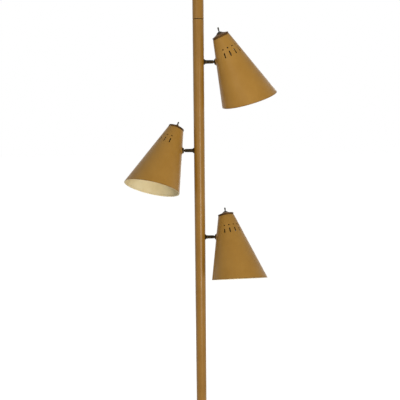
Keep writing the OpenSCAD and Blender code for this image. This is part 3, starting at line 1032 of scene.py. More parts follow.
@dataclass(frozen=True)
class GripFace:
    """The gripping face of a rubber pad, with moulded ring grooves.

    Attributes:
        radius: The pad's radius.
        groove_mm: Width of a groove.
        groove_deep: Depth of a groove.
        draft: How far a groove's sides lean in at its floor.
        margins: Distances of the grooves' outer edges from the pad's side.
    """

    radius: float
    groove_mm: float = 1.2
    groove_deep: float = 0.8
    draft: float = 0.1
    margins: tuple[float, ...] = (13.0, 9.0, 5.0)

    def outline(self, face: float, down: float) -> list[Point]:
        """Gives the outline of the face from its middle outwards.

        Args:
            face: Height of the face.
            down: 1 if the face looks down, -1 if it looks up.

        Returns:
            Outline points, from the axis to the outermost groove.
        """
        deep = face + down * self.groove_deep
        points: list[Point] = [(0.0, face)]
        for outer in (self.radius - margin for margin in self.margins):
            inner = outer - self.groove_mm
            points += [(inner, face), (inner + self.draft, deep)]
            points += [(outer - self.draft, deep), (outer, face)]
        return points


@dataclass
class Foot:
    """The rubber pad on the floor and the turned plug that joins it to the pole.

    Attributes:
        pad_h: Height of the pad.
        floor_h: Thickness of the pad under the plug.
        land: Width of the pad's rim round the plug.
        toe_r: Rounding of the pad's foot.
        lip_r: Rounding of the pad's lip.
        lip_in: Distance of the lip's rounding from the pad's side.
        rib_heights: Heights of the two moulded ribs.
        rib_half: Half the height of a rib.
        rib_backs: How far the side lies back under and over a rib.
        sweep_r: Radius of the plug's swept neck.
        shoulder_r: Radius of the round shoulder under the pole.
        shoulder_drop: Distance of the shoulder's middle below the pole's end.
        spigot_len: Length of the spigot in the pole.
        spigot_wall: Wall of the spigot.
    """

    pad_h: float = 7.0
    floor_h: float = 3.0
    land: float = 5.0
    toe_r: float = 1.8
    lip_r: float = 1.2
    lip_in: float = 1.6
    rib_heights: Point = (3.4, 5.0)
    rib_half: float = 0.45
    rib_backs: Point = (0.25, 0.3)
    sweep_r: float = 9.2
    shoulder_r: float = 1.6
    shoulder_drop: float = 5.0
    spigot_len: float = 28.0
    spigot_wall: float = 2.5

    def __post_init__(self) -> None:
        """Reads the sizes of the pad and the pole from the frame."""
        self.radius = node_radius("foot_pad")
        self.pole_r = node_radius("middle_pole")
        self.pole_foot = node_span("lower_pole")[0]

    def pad(self) -> Thing:
        """Makes the pad: a grooved face, a rounded toe, two moulded ribs and a soft lip.

        Returns:
            The pad.
        """
        r = self.radius
        under, over = self.rib_backs
        side = arc(r - self.toe_r, self.toe_r, self.toe_r, -90, 0)
        for height in self.rib_heights:
            side += [(r - under, height - self.rib_half), (r, height)]
            side += [(r - over, height + self.rib_half)]
        lip = arc(r - self.lip_in, self.pad_h - self.lip_r, self.lip_r, 0, 90)
        well = [(r - self.land, self.pad_h), (r - self.land, self.floor_h), (0.0, self.floor_h)]
        pad = turned("floor_pad", GripFace(r).outline(0.0, 1.0) + side + lip + well)
        return lathe_marks(soften(pad, 0.25, 2))

    def plug(self) -> Thing:
        """Makes the plug: a drum in the pad, a swept neck, a shoulder and a hollow spigot.

        Returns:
            The plug.
        """
        drum, rim, top = self.radius - self.land, self.pad_h, self.pole_foot
        spigot = self.pole_r - (Pole.wall + SNUG)
        bore, end = spigot - self.spigot_wall, top + self.spigot_len
        outline = [(0.0, self.floor_h), (drum, self.floor_h), (drum, rim + 1)]
        outline += arc(drum - 2, rim + 1, 2, 0, 70)
        outline += [(drum - 2.6, rim + 3.1), (drum - 3.4, rim + 3.3)]
        outline += arc(drum - 1.5, rim + 12.5, self.sweep_r, 250, 178, 12)
        outline += [(self.pole_r - 2.5, top - 7)]
        bead = (self.pole_r - self.shoulder_r, top - self.shoulder_drop)
        outline += arc(*bead, self.shoulder_r, 240, 360, 8)
        outline += [(self.pole_r, top - 0.6), (self.pole_r - 0.6, top), (spigot, top)]
        outline += [(spigot, end - 2), (spigot - 1.5, end), (bore, end), (bore, top + 2)]
        plug = soften(turned("foot_plug_turned", outline + [(0.0, top + 2)]), 0.3, 3, angle=40)
        rub(plug, Rub.LIGHT, lambda p: abs(p.z - top + self.shoulder_drop) < 0.6)
        return lathe_marks(plug)

    def build(self) -> list[Piece]:
        """Makes the foot's pieces.

        Returns:
            The pieces.
        """
        return [
            Piece(self.pad(), PAD_RUBBER, "root", ("foot_pad",)),
            Piece(self.plug(), DARK_BRONZE, "root", ("foot_plug",)),
        ]


@dataclass
class CeilingEnd:
    """The sprung end: guide bushing, plunger tube, cup, rubber pad, and the spring inside.

    Attributes:
        flange_h: Height of the bushing's flange on the pole's end.
        flange_round: Rounding of the flange.
        wiper: Depth of the groove round the bushing's wiping lip.
        bushing_deep: Length of the bushing in the pole.
        plunger_wall: Wall of the plunger tube.
        line_rings: Heights over the bushing of the rings that bound the plunger's bright line.
        cup_land: Width of the pad's rim round the cup.
        cup_neck: Thickness of the cup's neck round the plunger.
        cup_sweep: Radius of the cup's hollow curve.
        cup_round: Rounding of the cup's rim.
        skirt: How far the pad comes down round the cup.
        skirt_round: Rounding of the skirt's edge.
        pad_round: Rounding of the pad's gripping end.
        coil_r: Radius of the spring's coil, to the middle of its wire.
        wire_r: Radius of the spring's wire.
        wire_sides: Number of sides of the wire's section.
        turn_steps: Number of steps in one turn of the wire.
        open_turns: Turns of the spring between the close turn at each end.
        close_rise: Rise of a close turn.
        travel: The way that the plunger can go in.
        boss_h: Height of the seat's boss inside the coil.
    """

    flange_h: float = 3.0
    flange_round: float = 1.2
    wiper: float = 0.35
    bushing_deep: float = 14.0
    plunger_wall: float = 1.2
    line_rings: tuple[float, ...] = (-1.0, 0.0, 2.0, 3.0)
    cup_land: float = 4.0
    cup_neck: float = 2.2
    cup_sweep: float = 5.0
    cup_round: float = 1.4
    skirt: float = 2.6
    skirt_round: float = 1.2
    pad_round: float = 2.2
    coil_r: float = 9.4
    wire_r: float = 0.9
    wire_sides: int = 12
    turn_steps: int = 24
    open_turns: int = 18
    close_rise: float = 2.07
    travel: float = 80.0
    boss_h: float = 7.0

    def __post_init__(self) -> None:
        """Reads the sizes of the pole, the plunger and the pad from the frame."""
        self.pole_r = node_radius("middle_pole")
        self.pole_top = node_span("upper_pole")[1]
        self.plunger_r = node_radius("plunger_tube")
        self.pad_r = node_radius("ceiling_pad")
        self.top = node_span("ceiling_pad")[1]
        self.cup_low, self.cup_high = node_span("ceiling_cup")

    def bushing(self) -> Thing:
        """Makes the ring that closes the pole and guides the plunger, with a wiping lip.

        Returns:
            The bushing.
        """
        top, edge = self.pole_top, self.flange_round
        slide = self.plunger_r + SNUG
        spigot = self.pole_r - (Pole.wall + SNUG)
        foot, crown = top - self.bushing_deep, top + self.flange_h
        outline = [(slide, foot), (spigot, foot), (spigot, top), (self.pole_r, top)]
        outline += arc(self.pole_r - edge, crown - edge, edge, 0, 90)
        outline += [(slide + 1.6, crown), (slide + 1.4, crown - self.wiper)]
        outline += [(slide + 0.5, crown - self.wiper), (slide, crown - 0.9)]
        return lathe_marks(soften(turned("plunger_bushing", outline + outline[:1]), 0.15, 2))

    def plunger(self) -> Thing:
        """Makes the plunger tube, with the bright line that sliding has left on it.

        Returns:
            The tube.
        """
        low, high = node_span("plunger_tube")
        r = self.plunger_r
        inner = r - self.plunger_wall
        rest = self.pole_top + self.flange_h
        outline = [(inner, low), (r, low)] + [(r, rest + step) for step in self.line_rings]
        outline += [(r, high), (inner, high), (inner, low)]
        tube = soften(turned("sliding_tube", outline), 0.4, 3, angle=60)
        return lathe_marks(rub(tube, Rub.HARD, lambda p: abs(p.z - rest - 1) < 1.5))

    def cup(self) -> Thing:
        """Makes the flared cup, with a turned bead round its neck.

        Returns:
            The cup.
        """
        low, high, edge = self.cup_low, self.cup_high, self.cup_round
        rim = self.pad_r - self.cup_land
        neck = self.plunger_r + self.cup_neck
        seat = node_span("plunger_tube")[1]
        outline = [(0.0, seat), (self.plunger_r, seat), (self.plunger_r, low)]
        outline += [(neck - 0.8, low), (neck, low + 0.8)]
        outline += arc(neck + self.cup_sweep, low + 4, self.cup_sweep, 180, 90, 10)
        outline += [(rim - 2, high - 4.8)] + arc(rim - edge, high - 3.4, edge, -90, 0)
        cup = turned("ceiling_cup_turned", outline + [(rim, high), (0.0, high)])
        soften(cup, 0.25, 3, angle=40)
        return lathe_marks(rub(cup, Rub.LIGHT, lambda p: p.z < low + 1.2))

    def pad(self) -> Thing:
        """Makes the rubber pad, with a skirt round the cup and a grooved face.

        Returns:
            The pad.
        """
        r = self.pad_r
        rim, hem = r - self.cup_land, self.cup_high - self.skirt
        outline = [(0.0, self.cup_high), (rim, self.cup_high), (rim, hem)]
        outline += arc(r - self.skirt_round, hem + self.skirt_round, self.skirt_round, -90, 0)
        rib = self.cup_high + 1.5
        outline += [(r - 0.3, rib - 0.5), (r, rib), (r - 0.3, rib + 0.5)]
        outline += arc(r - self.pad_round, self.top - self.pad_round, self.pad_round, 0, 90, 8)
        outline += GripFace(r).outline(self.top, -1.0)[::-1]
        return lathe_marks(soften(turned("ceiling_pad_moulded", outline), 0.25, 2))

    def coil(self, start: float, rise: float, turns: int) -> Thing:
        """Winds part of the spring: a ring of the wire's section is screwed up round the axis.

        Args:
            start: Height of the wire's middle where the part begins.
            rise: Rise of one turn.
            turns: Number of turns.

        Returns:
            The part, open at both ends.
        """
        hands_off()
        bpy.ops.mesh.primitive_circle_add(vertices=self.wire_sides, radius=self.wire_r * MM)
        obj = label(bpy.context.object, "coil")
        stand = Matrix.Rotation(math.pi / 2, 4, "X")
        obj.data.transform(Matrix.Translation((self.coil_r * MM, 0, start * MM)) @ stand)
        bpy.ops.object.modifier_add(type="SCREW")
        screw = obj.modifiers[-1]
        screw.axis = "Z"
        screw.angle = 2 * math.pi
        screw.screw_offset = rise * MM
        screw.iterations = turns
        screw.steps = screw.render_steps = self.turn_steps
        bpy.ops.object.modifier_apply(modifier=screw.name)
        return obj

    def spring(self) -> Piece:
        """Makes the spring between its seat and the plunger's stop, with closed wire ends.

        Returns:
            The finished piece.
        """
        seat, end = node_span("spring_seat")[1] - self.boss_h, node_span("plunger_stop")[0]
        low, high = seat + self.wire_r, end - self.wire_r
        rise = (high - low - 2 * self.close_rise) / self.open_turns
        parts = [
            self.coil(low, self.close_rise, 1),
            self.coil(low + self.close_rise, rise, self.open_turns),
            self.coil(high - self.close_rise, self.close_rise, 1),
        ]
        spring = joined("wound_tension_spring", parts)
        weld(spring)
        take(spring, editing=True)
        pick(spring, Kind.EDGE, lambda e: e.is_boundary)
        bpy.ops.mesh.fill_holes(sides=0)
        bpy.ops.mesh.select_all(action="SELECT")
        bpy.ops.mesh.normals_make_consistent(inside=False)
        hands_off()
        return SqueezedPiece(
            spring, SPRING_WIRE, "root", ("tension_spring",),
            joint="plunger_slide", anchor=seat, keep=1 - self.travel / (end - seat)
        )

    def build(self) -> list[Piece]:
        """Makes the ceiling end's pieces.

        Returns:
            The pieces.
        """
        pieces = [
            Piece(self.bushing(), DARK_BRONZE, "root", ("guide_bushing",)),
            Piece(self.plunger(), DRAWN_BRONZE, "plunger", ("plunger_tube",)),
            Piece(self.cup(), DARK_BRONZE, "plunger", ("ceiling_cup",)),
            Piece(self.pad(), PAD_RUBBER, "plunger", ("ceiling_pad",)),
        ]
        stop = lathe_marks(from_frame("plunger_stop", "plunger_stop_ring"))
        pieces.append(Piece(stop, ZINC_PLATE, "plunger", ("plunger_stop",)))
        seat = lathe_marks(from_frame("spring_seat", "spring_seat_plug"))
        pieces.append(Piece(seat, ZINC_PLATE, "root", ("spring_seat",)))
        pieces.append(self.spring())
        return pieces


# ---------------------------------------------------------------- heads


class Home(Enum):
    """Which of a head's bodies a part rides on."""

    POLE = "root"
    ARM = "arm"
    HEAD = "head"
    TOGGLE = "toggle"


@dataclass(frozen=True)
class RestPose:
    """How one head stands in the photograph.

    Attributes:
        name: The head's name.
        yaw: Direction of the arm about the pole, in degrees.
        roll: Turn of the arm about its own length.
        tilt: Lean of the shade on its ball, away from the pole.
        swing: Turn of the shade about the tilted axis.
        lever: Way that the switch's lever leans, from the shade's outer side.
    """

    name: str
    yaw: float
    roll: float
    tilt: float
    swing: float
    lever: float

    def arm_place(self) -> Matrix:
        """Gives the arm's frame: X runs out along it from the pole's axis."""
        height = joint_centre(f"{self.name}_arm_roll").z * MM
        return Matrix.Translation((0, 0, height)) @ Matrix.Rotation(math.radians(self.yaw), 4, "Z")

    def shade_place(self, ball_r: float, ball_drop: float) -> Matrix:
        """Gives the shade's frame: Z is the cone's axis and its top is at zero.

        Args:
            ball_r: Distance of the swivel's ball from the cone's axis.
            ball_drop: Distance of the ball below the cone's top.

        Returns:
            The frame, in metres.
        """
        ball = joint_centre(f"{self.name}_shade_tilt") * MM
        turn = Matrix.Rotation(math.radians(self.yaw), 4, "Z")
        turn = turn @ Matrix.Rotation(math.radians(self.roll), 4, "X")
        turn = turn @ Matrix.Rotation(math.radians(-self.tilt), 4, "Y")
        turn = turn @ Matrix.Rotation(math.radians(self.swing), 4, "Z")
        out = Matrix.Translation((ball_r * MM, 0, ball_drop * MM))
        return Matrix.Translation(ball) @ turn @ out


REST_POSES = (
    RestPose("top", yaw=0, roll=8.6, tilt=24.6, swing=-11.7, lever=60),
    RestPose("middle", yaw=180, roll=22.5, tilt=20, swing=-3, lever=284),
    RestPose("bottom", yaw=0, roll=-21.8, tilt=10, swing=-17.5, lever=84),
)


@dataclass
class Cone:
    """The size of the spun cone, which every part of a head is set by.

    Attributes:
        top_r: Outside radius at the top.
        mouth_r: Outside radius at the full length.
        length: Length on the axis.
        wall: Thickness of the metal.
        slant: Slant of the mouth in degrees; the pole's side is the shorter.
        ball_drop: Distance of the swivel ball below the top.
        gauge_over: How far a gauge stands over the top.
        gauge_share: Length of a gauge below the top, as a share of the cone's.
        gauge_sides: Number of sides of a gauge.
    """

    top_r: float = 18.3
    mouth_r: float = 64.3
    length: float = 156.3
    wall: float = 1.0
    slant: float = 8.2
    ball_drop: float = 48.1
    gauge_over: float = 10.0
    gauge_share: float = 1.3
    gauge_sides: int = 256

    @property
    def slope(self) -> float:
        """Growth of the radius for each millimetre down."""
        return (self.mouth_r - self.top_r) / self.length

    @property
    def half_angle(self) -> float:
        """Angle between the wall and the axis, in radians."""
        return math.atan(self.slope)

    @property
    def wall_across(self) -> float:
        """Thickness of the metal, measured square to the axis."""
        return self.wall / math.cos(self.half_angle)

    def radius(self, drop: float) -> float:
        """Gives the outside radius at a distance below the top."""
        return self.top_r + self.slope * drop

    def gap(self, point: Vector) -> float:
        """Gives a point's distance from the outer wall, inwards and square to the axis."""
        return self.radius(-point.z) - math.hypot(point.x, point.y)

    def on_wall(self, turn: float, drop: float) -> Matrix:
        """Gives a place on the outer wall, with Z square to the wall and X down the slant.

        Args:
            turn: Direction from the axis, in degrees.
            drop: Distance below the top.

        Returns:
            The place, in metres.
        """
        spin = Matrix.Rotation(math.radians(turn), 4, "Z")
        shift = Matrix.Translation((self.radius(drop) * MM, 0, -drop * MM))
        return spin @ shift @ Matrix.Rotation(math.pi / 2 - self.half_angle, 4, "Y")

    def gauge(self, name: str, inset: float) -> Thing:
        """Adds a full cone along the wall, as a tool for cutting.

        Args:
            name: The tool's name.
            inset: Distance inwards from the outer wall, square to the axis.

        Returns:
            The tool.
        """
        hands_off()
        deep, over = self.gauge_share * self.length, self.gauge_over
        low, high = self.radius(deep) - inset, self.radius(-over) - inset
        bpy.ops.mesh.primitive_cone_add(
            vertices=self.gauge_sides, radius1=low * MM, radius2=high * MM, depth=(deep + over) * MM
        )
        obj = label(bpy.context.object, name)
        obj.data.transform(Matrix.Translation((0, 0, (over - deep) / 2 * MM)))
        return obj


@dataclass
class Shade:
    """The spun cone: flat top, groove under its band, vents, and a hemmed, slanted mouth.

    Attributes:
        cone: Its size.
        sides: Number of its sides.
        rings: Distances below the top of the rings that keep the wall's faces short.
        hem_h: Height of the hem at the mouth.
        hem_in: How far the hem stands in from the wall.
        band_h: Height of the band above the groove.
        groove_h: Height of the groove.
        groove_deep: Depth of the groove.
        hole_r: Radius of the switch's hole in the top.
        cup_hole_r: Radius of the swivel's hole.
        vent_ring: Number of vents in a full ring.
        vents_left_out: Number left out on the arm's side.
        dot_r: Radius of a vent's round hole.
        dot_drop: Its distance below the top.
        slot_r: Half the width of a vent's slot.
        slot_span: Distances of the slot's two ends below the top.
        punch: How far a punch reaches to each side of the wall.
        rim_mm: Height of the painted shade line on the mouth's outer rim.
        rim_painted_shade: How dark that painted shade is, from 0 to 1.
    """

    cone: Cone
    sides: int = 128
    rings: tuple[float, ...] = (12, 25, 35, 50, 80, 110)
    hem_h: float = 3.2
    hem_in: float = 0.9
    band_h: float = 2.6
    groove_h: float = 1.0
    groove_deep: float = 0.6
    hole_r: float = 3.4
    cup_hole_r: float = 7.1
    vent_ring: int = 15
    vents_left_out: int = 6
    dot_r: float = 1.7
    dot_drop: float = 29.5
    slot_r: float = 1.35
    slot_span: Point = (38.0, 47.2)
    punch: float = 3.0
    rim_mm: float = 0.7
    rim_painted_shade: float = 0.7

    def mouth_plane(self, lift: float) -> tuple[Vector, Vector]:
        """Gives a plane along the mouth.

        Args:
            lift: Height of the plane above the mouth, square to it.

        Returns:
            A point of the plane and its upward normal, in metres.
        """
        lean = math.radians(self.cone.slant)
        normal = Vector((math.sin(lean), 0, math.cos(lean)))
        return Vector((0, 0, -self.cone.length * MM)) + normal * lift * MM, normal

    def above_mouth(self, point: Vector) -> float:
        """Gives the distance above the mouth, in millimetres, of a point in metres."""
        base, normal = self.mouth_plane(0)
        return (point - base).dot(normal) / MM

    def is_inside(self, face: bmesh.types.BMFace) -> bool:
        """Says whether a face is on the cone's inner wall or under its top.

        Args:
            face: A face of the shade.

        Returns:
            True if cream enamel covers it.
        """
        middle = face.calc_center_median() / MM
        deep = self.cone.gap(middle) > self.cone.wall_across * 0.55
        past_hole = math.hypot(middle.x, middle.y) > self.hole_r + 0.2
        return middle.z < -self.cone.wall / 2 and deep and past_hole

    def is_band(self, face: bmesh.types.BMFace) -> bool:
        """Says whether a face is outside on the top band or in the groove under it.

        Args:
            face: A face of the shade.

        Returns:
            True if brown lacquer covers it.
        """
        middle = face.calc_center_median() / MM
        in_reach = middle.z > -self.band_h - self.groove_h - SNUG
        return in_reach and self.cone.gap(middle) < self.groove_deep + 0.1

    def blank(self) -> Thing:
        """Turns the double wall, open at the bottom, and cuts its mouth on the slant.

        Returns:
            The blank, with an edge along the hem's top.
        """
        cone, wall = self.cone, self.cone.wall_across
        past = 1.2 * cone.length
        top, end = self.band_h, self.band_h + self.groove_h
        outer = [(cone.radius(drop), -drop) for drop in (past, *self.rings[::-1], end)]
        outer += [(cone.radius(end) - self.groove_deep, -end)]
        outer += [(cone.radius(top) - self.groove_deep, -top), (cone.radius(top), -top)]
        outer += [(cone.top_r, 0.0), (self.hole_r, 0.0), (self.hole_r, -cone.wall)]
        inner = [(cone.radius(drop) - wall, -drop) for drop in (cone.wall, *self.rings, past)]
        shell = turned("spun_shade", outer + inner, self.sides)
        take(shell, editing=True)
        for lift, cleared in ((0.0, True), (self.hem_h, False)):
            base, normal = self.mouth_plane(lift)
            bpy.ops.mesh.select_all(action="SELECT")
            bpy.ops.mesh.bisect(plane_co=base, plane_no=normal, clear_inner=cleared)
        hands_off()
        return shell

    def hem(self, shell: Thing) -> None:
        """Closes the mouth's rim and raises the hem on the inner wall.

        Args:
            shell: The blank.
        """
        take(shell, editing=True)
        pick(shell, Kind.EDGE, lambda e: e.is_boundary)
        bpy.ops.mesh.bridge_edge_loops()
        bpy.ops.mesh.select_all(action="SELECT")
        bpy.ops.mesh.normals_make_consistent(inside=False)

        def in_hem(face: bmesh.types.BMFace) -> bool:
            """Says whether a face is on the inner wall between the rim and the hem's top."""
            lift = self.above_mouth(face.calc_center_median())
            return SNUG < lift < self.hem_h - SNUG and self.is_inside(face)

        pick(shell, Kind.FACE, in_hem)
        swell = {"value": self.hem_in * MM}
        bpy.ops.mesh.extrude_region_shrink_fatten(TRANSFORM_OT_shrink_fatten=swell)
        hands_off()

    def vent_tools(self) -> Thing:
        """Makes the punches of all the vents: for each a round one and a slotted one.

        Returns:
            The punches, as one tool.
        """
        cone = self.cone
        low, high = self.slot_span
        step = (high - low) / math.cos(cone.half_angle)
        dot = rod("dot_punch", self.dot_r, -self.punch, self.punch, sides=32)
        slot = rod("slot_punch", self.slot_r, -self.punch, self.punch, sides=32)
        take(slot, editing=True)
        pick(slot, Kind.VERT, lambda v: v.co.x > 0.01 * MM)
        bpy.ops.transform.translate(value=(step * MM, 0, 0))
        hands_off()
        pitch = 360 / self.vent_ring
        first = 180 + (self.vents_left_out + 1) * pitch / 2
        punches = []
        for k in range(self.vent_ring - self.vents_left_out):
            turn = first + k * pitch
            punches.append(copy_of(dot, f"dot_{k}", cone.on_wall(turn, self.dot_drop)))
            punches.append(copy_of(slot, f"slot_{k}", cone.on_wall(turn, low)))
        bpy.data.objects.remove(dot)
        bpy.data.objects.remove(slot)
        return joined("vent_punches", punches)

    def grime(self, point: Vector) -> float:
        """Says how much painted shade a point gets.

        Args:
            point: The point, in millimetres.

        Returns:
            1 in the groove, less on the mouth's outer rim, and 0 elsewhere.
        """
        gap = self.cone.gap(point)
        high = -point.z < self.band_h + self.groove_h + 0.1
        on_rim = self.above_mouth(point * MM) < self.rim_mm and gap < self.cone.wall / 2
        # Painted shade: full in the groove, fainter in a thin line on the mouth's outer rim.
        return 1.0 if high and gap > self.groove_deep / 2 else self.rim_painted_shade * on_rim

    def make(self) -> Thing:
        """Makes the whole shade, enamelled tan outside and cream inside, with a brown top band.

        Returns:
            The shade.
        """
        shell = self.blank()
        self.hem(shell)
        soften(shell, 0.3, 3, angle=40)
        machine(shell, self.vent_tools())
        drill = rod("swivel_drill", self.cup_hole_r, -10, 10, FEW_SIDES)
        drill.data.transform(self.cone.on_wall(180, self.cone.ball_drop))
        machine(shell, drill)
        soften(shell, 0.18, 2, angle=50)
        # Painted shade: the groove and the mouth's outer rim are marked to be darkened.
        mark(lathe_marks(shell), Mark.GRIME, self.grime)
        band, inside = (CAP_BRONZE, self.is_band), (CREAM_ENAMEL, self.is_inside)
        return coated(shell, SHADE_ENAMEL, inside, band)


@dataclass
class Swivel:
    """The arm with its ball, the collar on the pole, and the cup on the cone.

    Attributes:
        cone: The shade's size.
        pole_r: The pole's radius.
        reach: Distance of the ball from the pole's axis.
        arm_r: Radius of the arm.
        neck_r: Radius of its neck.
        neck_back: Distance of the neck's start from the ball's near end.
        rings: Distances of two fine turned rings before the neck.
        ring_deep: Depth of such a ring.
        ring_half: Half the width of such a ring.
        tail_r: Radius of its threaded tail.
        tail_end: Distance of the tail's end from the pole's axis.
        ball_r: Radius of the ball.
        bore_r: Radius of the wire's bore.
        bore_edge: Angles from the arm at which the ball's face ends and the bore starts.
        collar_r: Radius of the collar at the pole.
        collar_len: Length of the collar from the pole's face.
        collar_foot: Thickness of the collar's foot from the pole's face.
        collar_sunk: How far the collar is turned past the pole's face before it is hollowed.
        cup_r: Outside radius of the cup.
        cup_open: Half angle of the cup's opening, in degrees.
        cup_end: Distance of the cup's inner end from the ball's middle.
        cup_lip: How far the cup's lip is cut back from its outer face.
        flange_r: Radius of the cup's saddle.
        flange_h: Thickness of the saddle.
        flange_in: How far the saddle reaches into the cup's wall.
        flange_span: Heights between which the saddle is turned before it is fitted.
    """

    cone: Cone
    pole_r: float
    reach: float
    arm_r: float = 4.0
    neck_r: float = 2.9
    neck_back: float = 2.4
    rings: Point = (2.6, 1.4)
    ring_deep: float = 0.22
    ring_half: float = 0.3
    tail_r: float = 3.2
    tail_end: float = 4.5
    ball_r: float = 5.5
    bore_r: float = 1.8
    bore_edge: Point = (19.5, 19.1)
    collar_r: float = 6.4
    collar_len: float = 5.4
    collar_foot: float = 1.5
    collar_sunk: float = 3.0
    cup_r: float = 7.0
    cup_open: float = 57.0
    cup_end: float = -5.0
    cup_lip: float = 0.55
    flange_r: float = 8.4
    flange_h: float = 1.2
    flange_in: float = 0.4
    flange_span: Point = (-6.0, 8.0)

    def arm(self) -> Thing:
        """Makes the arm along Z: threaded tail, body with two fine turned rings, neck and ball.

        Returns:
            The arm.
        """
        shoulder = self.pole_r + 0.3
        neck = self.reach - self.ball_r - self.neck_back
        outline = [(self.bore_r, self.tail_end), (self.tail_r, self.tail_end)]
        outline += [(self.tail_r, shoulder), (self.arm_r, shoulder)]
        for x in (neck - back for back in self.rings):
            outline += [(self.arm_r, x - self.ring_half), (self.arm_r - self.ring_deep, x)]
            outline += [(self.arm_r, x + self.ring_half)]
        outline += [(self.arm_r, neck), (self.neck_r, neck + 2)]
        meet = math.degrees(math.asin(self.neck_r / self.ball_r))
        face_end, bore_start = self.bore_edge
        ball = arc(0, 0, self.ball_r, meet - 90, 90 - face_end, 18)
        outline += [(r, self.reach + z) for r, z in ball]
        outline += [(self.bore_r, self.reach + self.ball_r * math.cos(math.radians(bore_start)))]
        arm = turned("swivel_arm", outline + outline[:1], FEW_SIDES)
        soften(arm, 0.25, 3, angle=30)
        return lathe_marks(rub(arm, Rub.LIGHT, lambda p: abs(p.z - neck) < 0.6))

    def collar(self) -> Thing:
        """Makes the flared collar along Z, hollowed to sit on the round pole.

        Returns:
            The collar.
        """
        bore, sunk = self.arm_r + SNUG, self.pole_r - self.collar_sunk
        foot, tip = self.pole_r + self.collar_foot, self.pole_r + self.collar_len
        outline = [(bore, sunk), (self.collar_r, sunk)]
        outline += arc(self.collar_r - 0.6, foot - 0.6, 0.6, 0, 90, 5)
        outline += arc(self.collar_r - 0.4, self.pole_r + 3.5, 1.7, 255, 180, 8)
        outline += [(bore + 0.4, tip), (bore, tip), (bore, sunk)]
        ring = turned("flared_collar", outline, sides=72)
        gauge = rod("pole_gauge", self.pole_r, -12, 12, GAUGE_SIDES)
        gauge.data.transform(Matrix.Rotation(math.pi / 2, 4, "X"))
        machine(ring, gauge)
        soften(ring, 0.15, 2, angle=40)
        rub(ring, Rub.LIGHT, lambda p: p.z > tip - 0.6 or abs(p.z - foot) < 0.35)
        return lathe_marks(ring)

    def cup(self) -> Thing:
        """Makes the cup: a domed bronze ring on a saddle that is sprayed with the cone.

        Returns:
            The cup, in its place on the cone.
        """
        place = self.cone.on_wall(180, self.cone.ball_drop)
        back = place.inverted()
        open_angle, lip = math.radians(self.cup_open), 90 - self.cup_open
        seat = self.ball_r + SNUG
        throat = self.cup_r * math.sin(open_angle) - self.cup_lip
        top = self.cup_r * math.sin(math.radians(lip))
        outline = [(seat, self.cup_end), (self.cup_r, self.cup_end)]
        outline += arc(0, 0, self.cup_r, 0, lip, 10) + [(throat, top - 0.35)]
        outline += arc(0, 0, seat, math.degrees(math.asin((top - 1.0) / seat)), 0, 8)
        dome = turned("swivel_cup", outline + outline[:1])
        dome.data.transform(place)
        inner = self.cup_r - self.flange_in
        low, high = self.flange_span
        ring = [(inner, low), (self.flange_r, low), (self.flange_r, high), (inner, high)]
        flange = turned("saddle", ring + ring[:1])
        flange.data.transform(place)
        machine(flange, self.cone.gauge("outer_gauge", -self.flange_h), Cut.BOUND)
        machine(flange, self.cone.gauge("inner_gauge", 0.0))
        machine(dome, flange, Cut.ADDED)
        soften(dome, 0.25, 3, angle=38)
        lathe_marks(dome, place)
        rub(dome, Rub.HARD, lambda p: (back @ (p * MM)).z / MM > top - 0.9)

        def on_saddle(face: bmesh.types.BMFace) -> bool:
            """Says whether a face belongs to the saddle."""
            own = back @ face.calc_center_median() / MM
            return math.hypot(own.x, own.y) > self.cup_r + 0.03

        return coated(dome, DARK_BRONZE, (SHADE_ENAMEL, on_saddle))


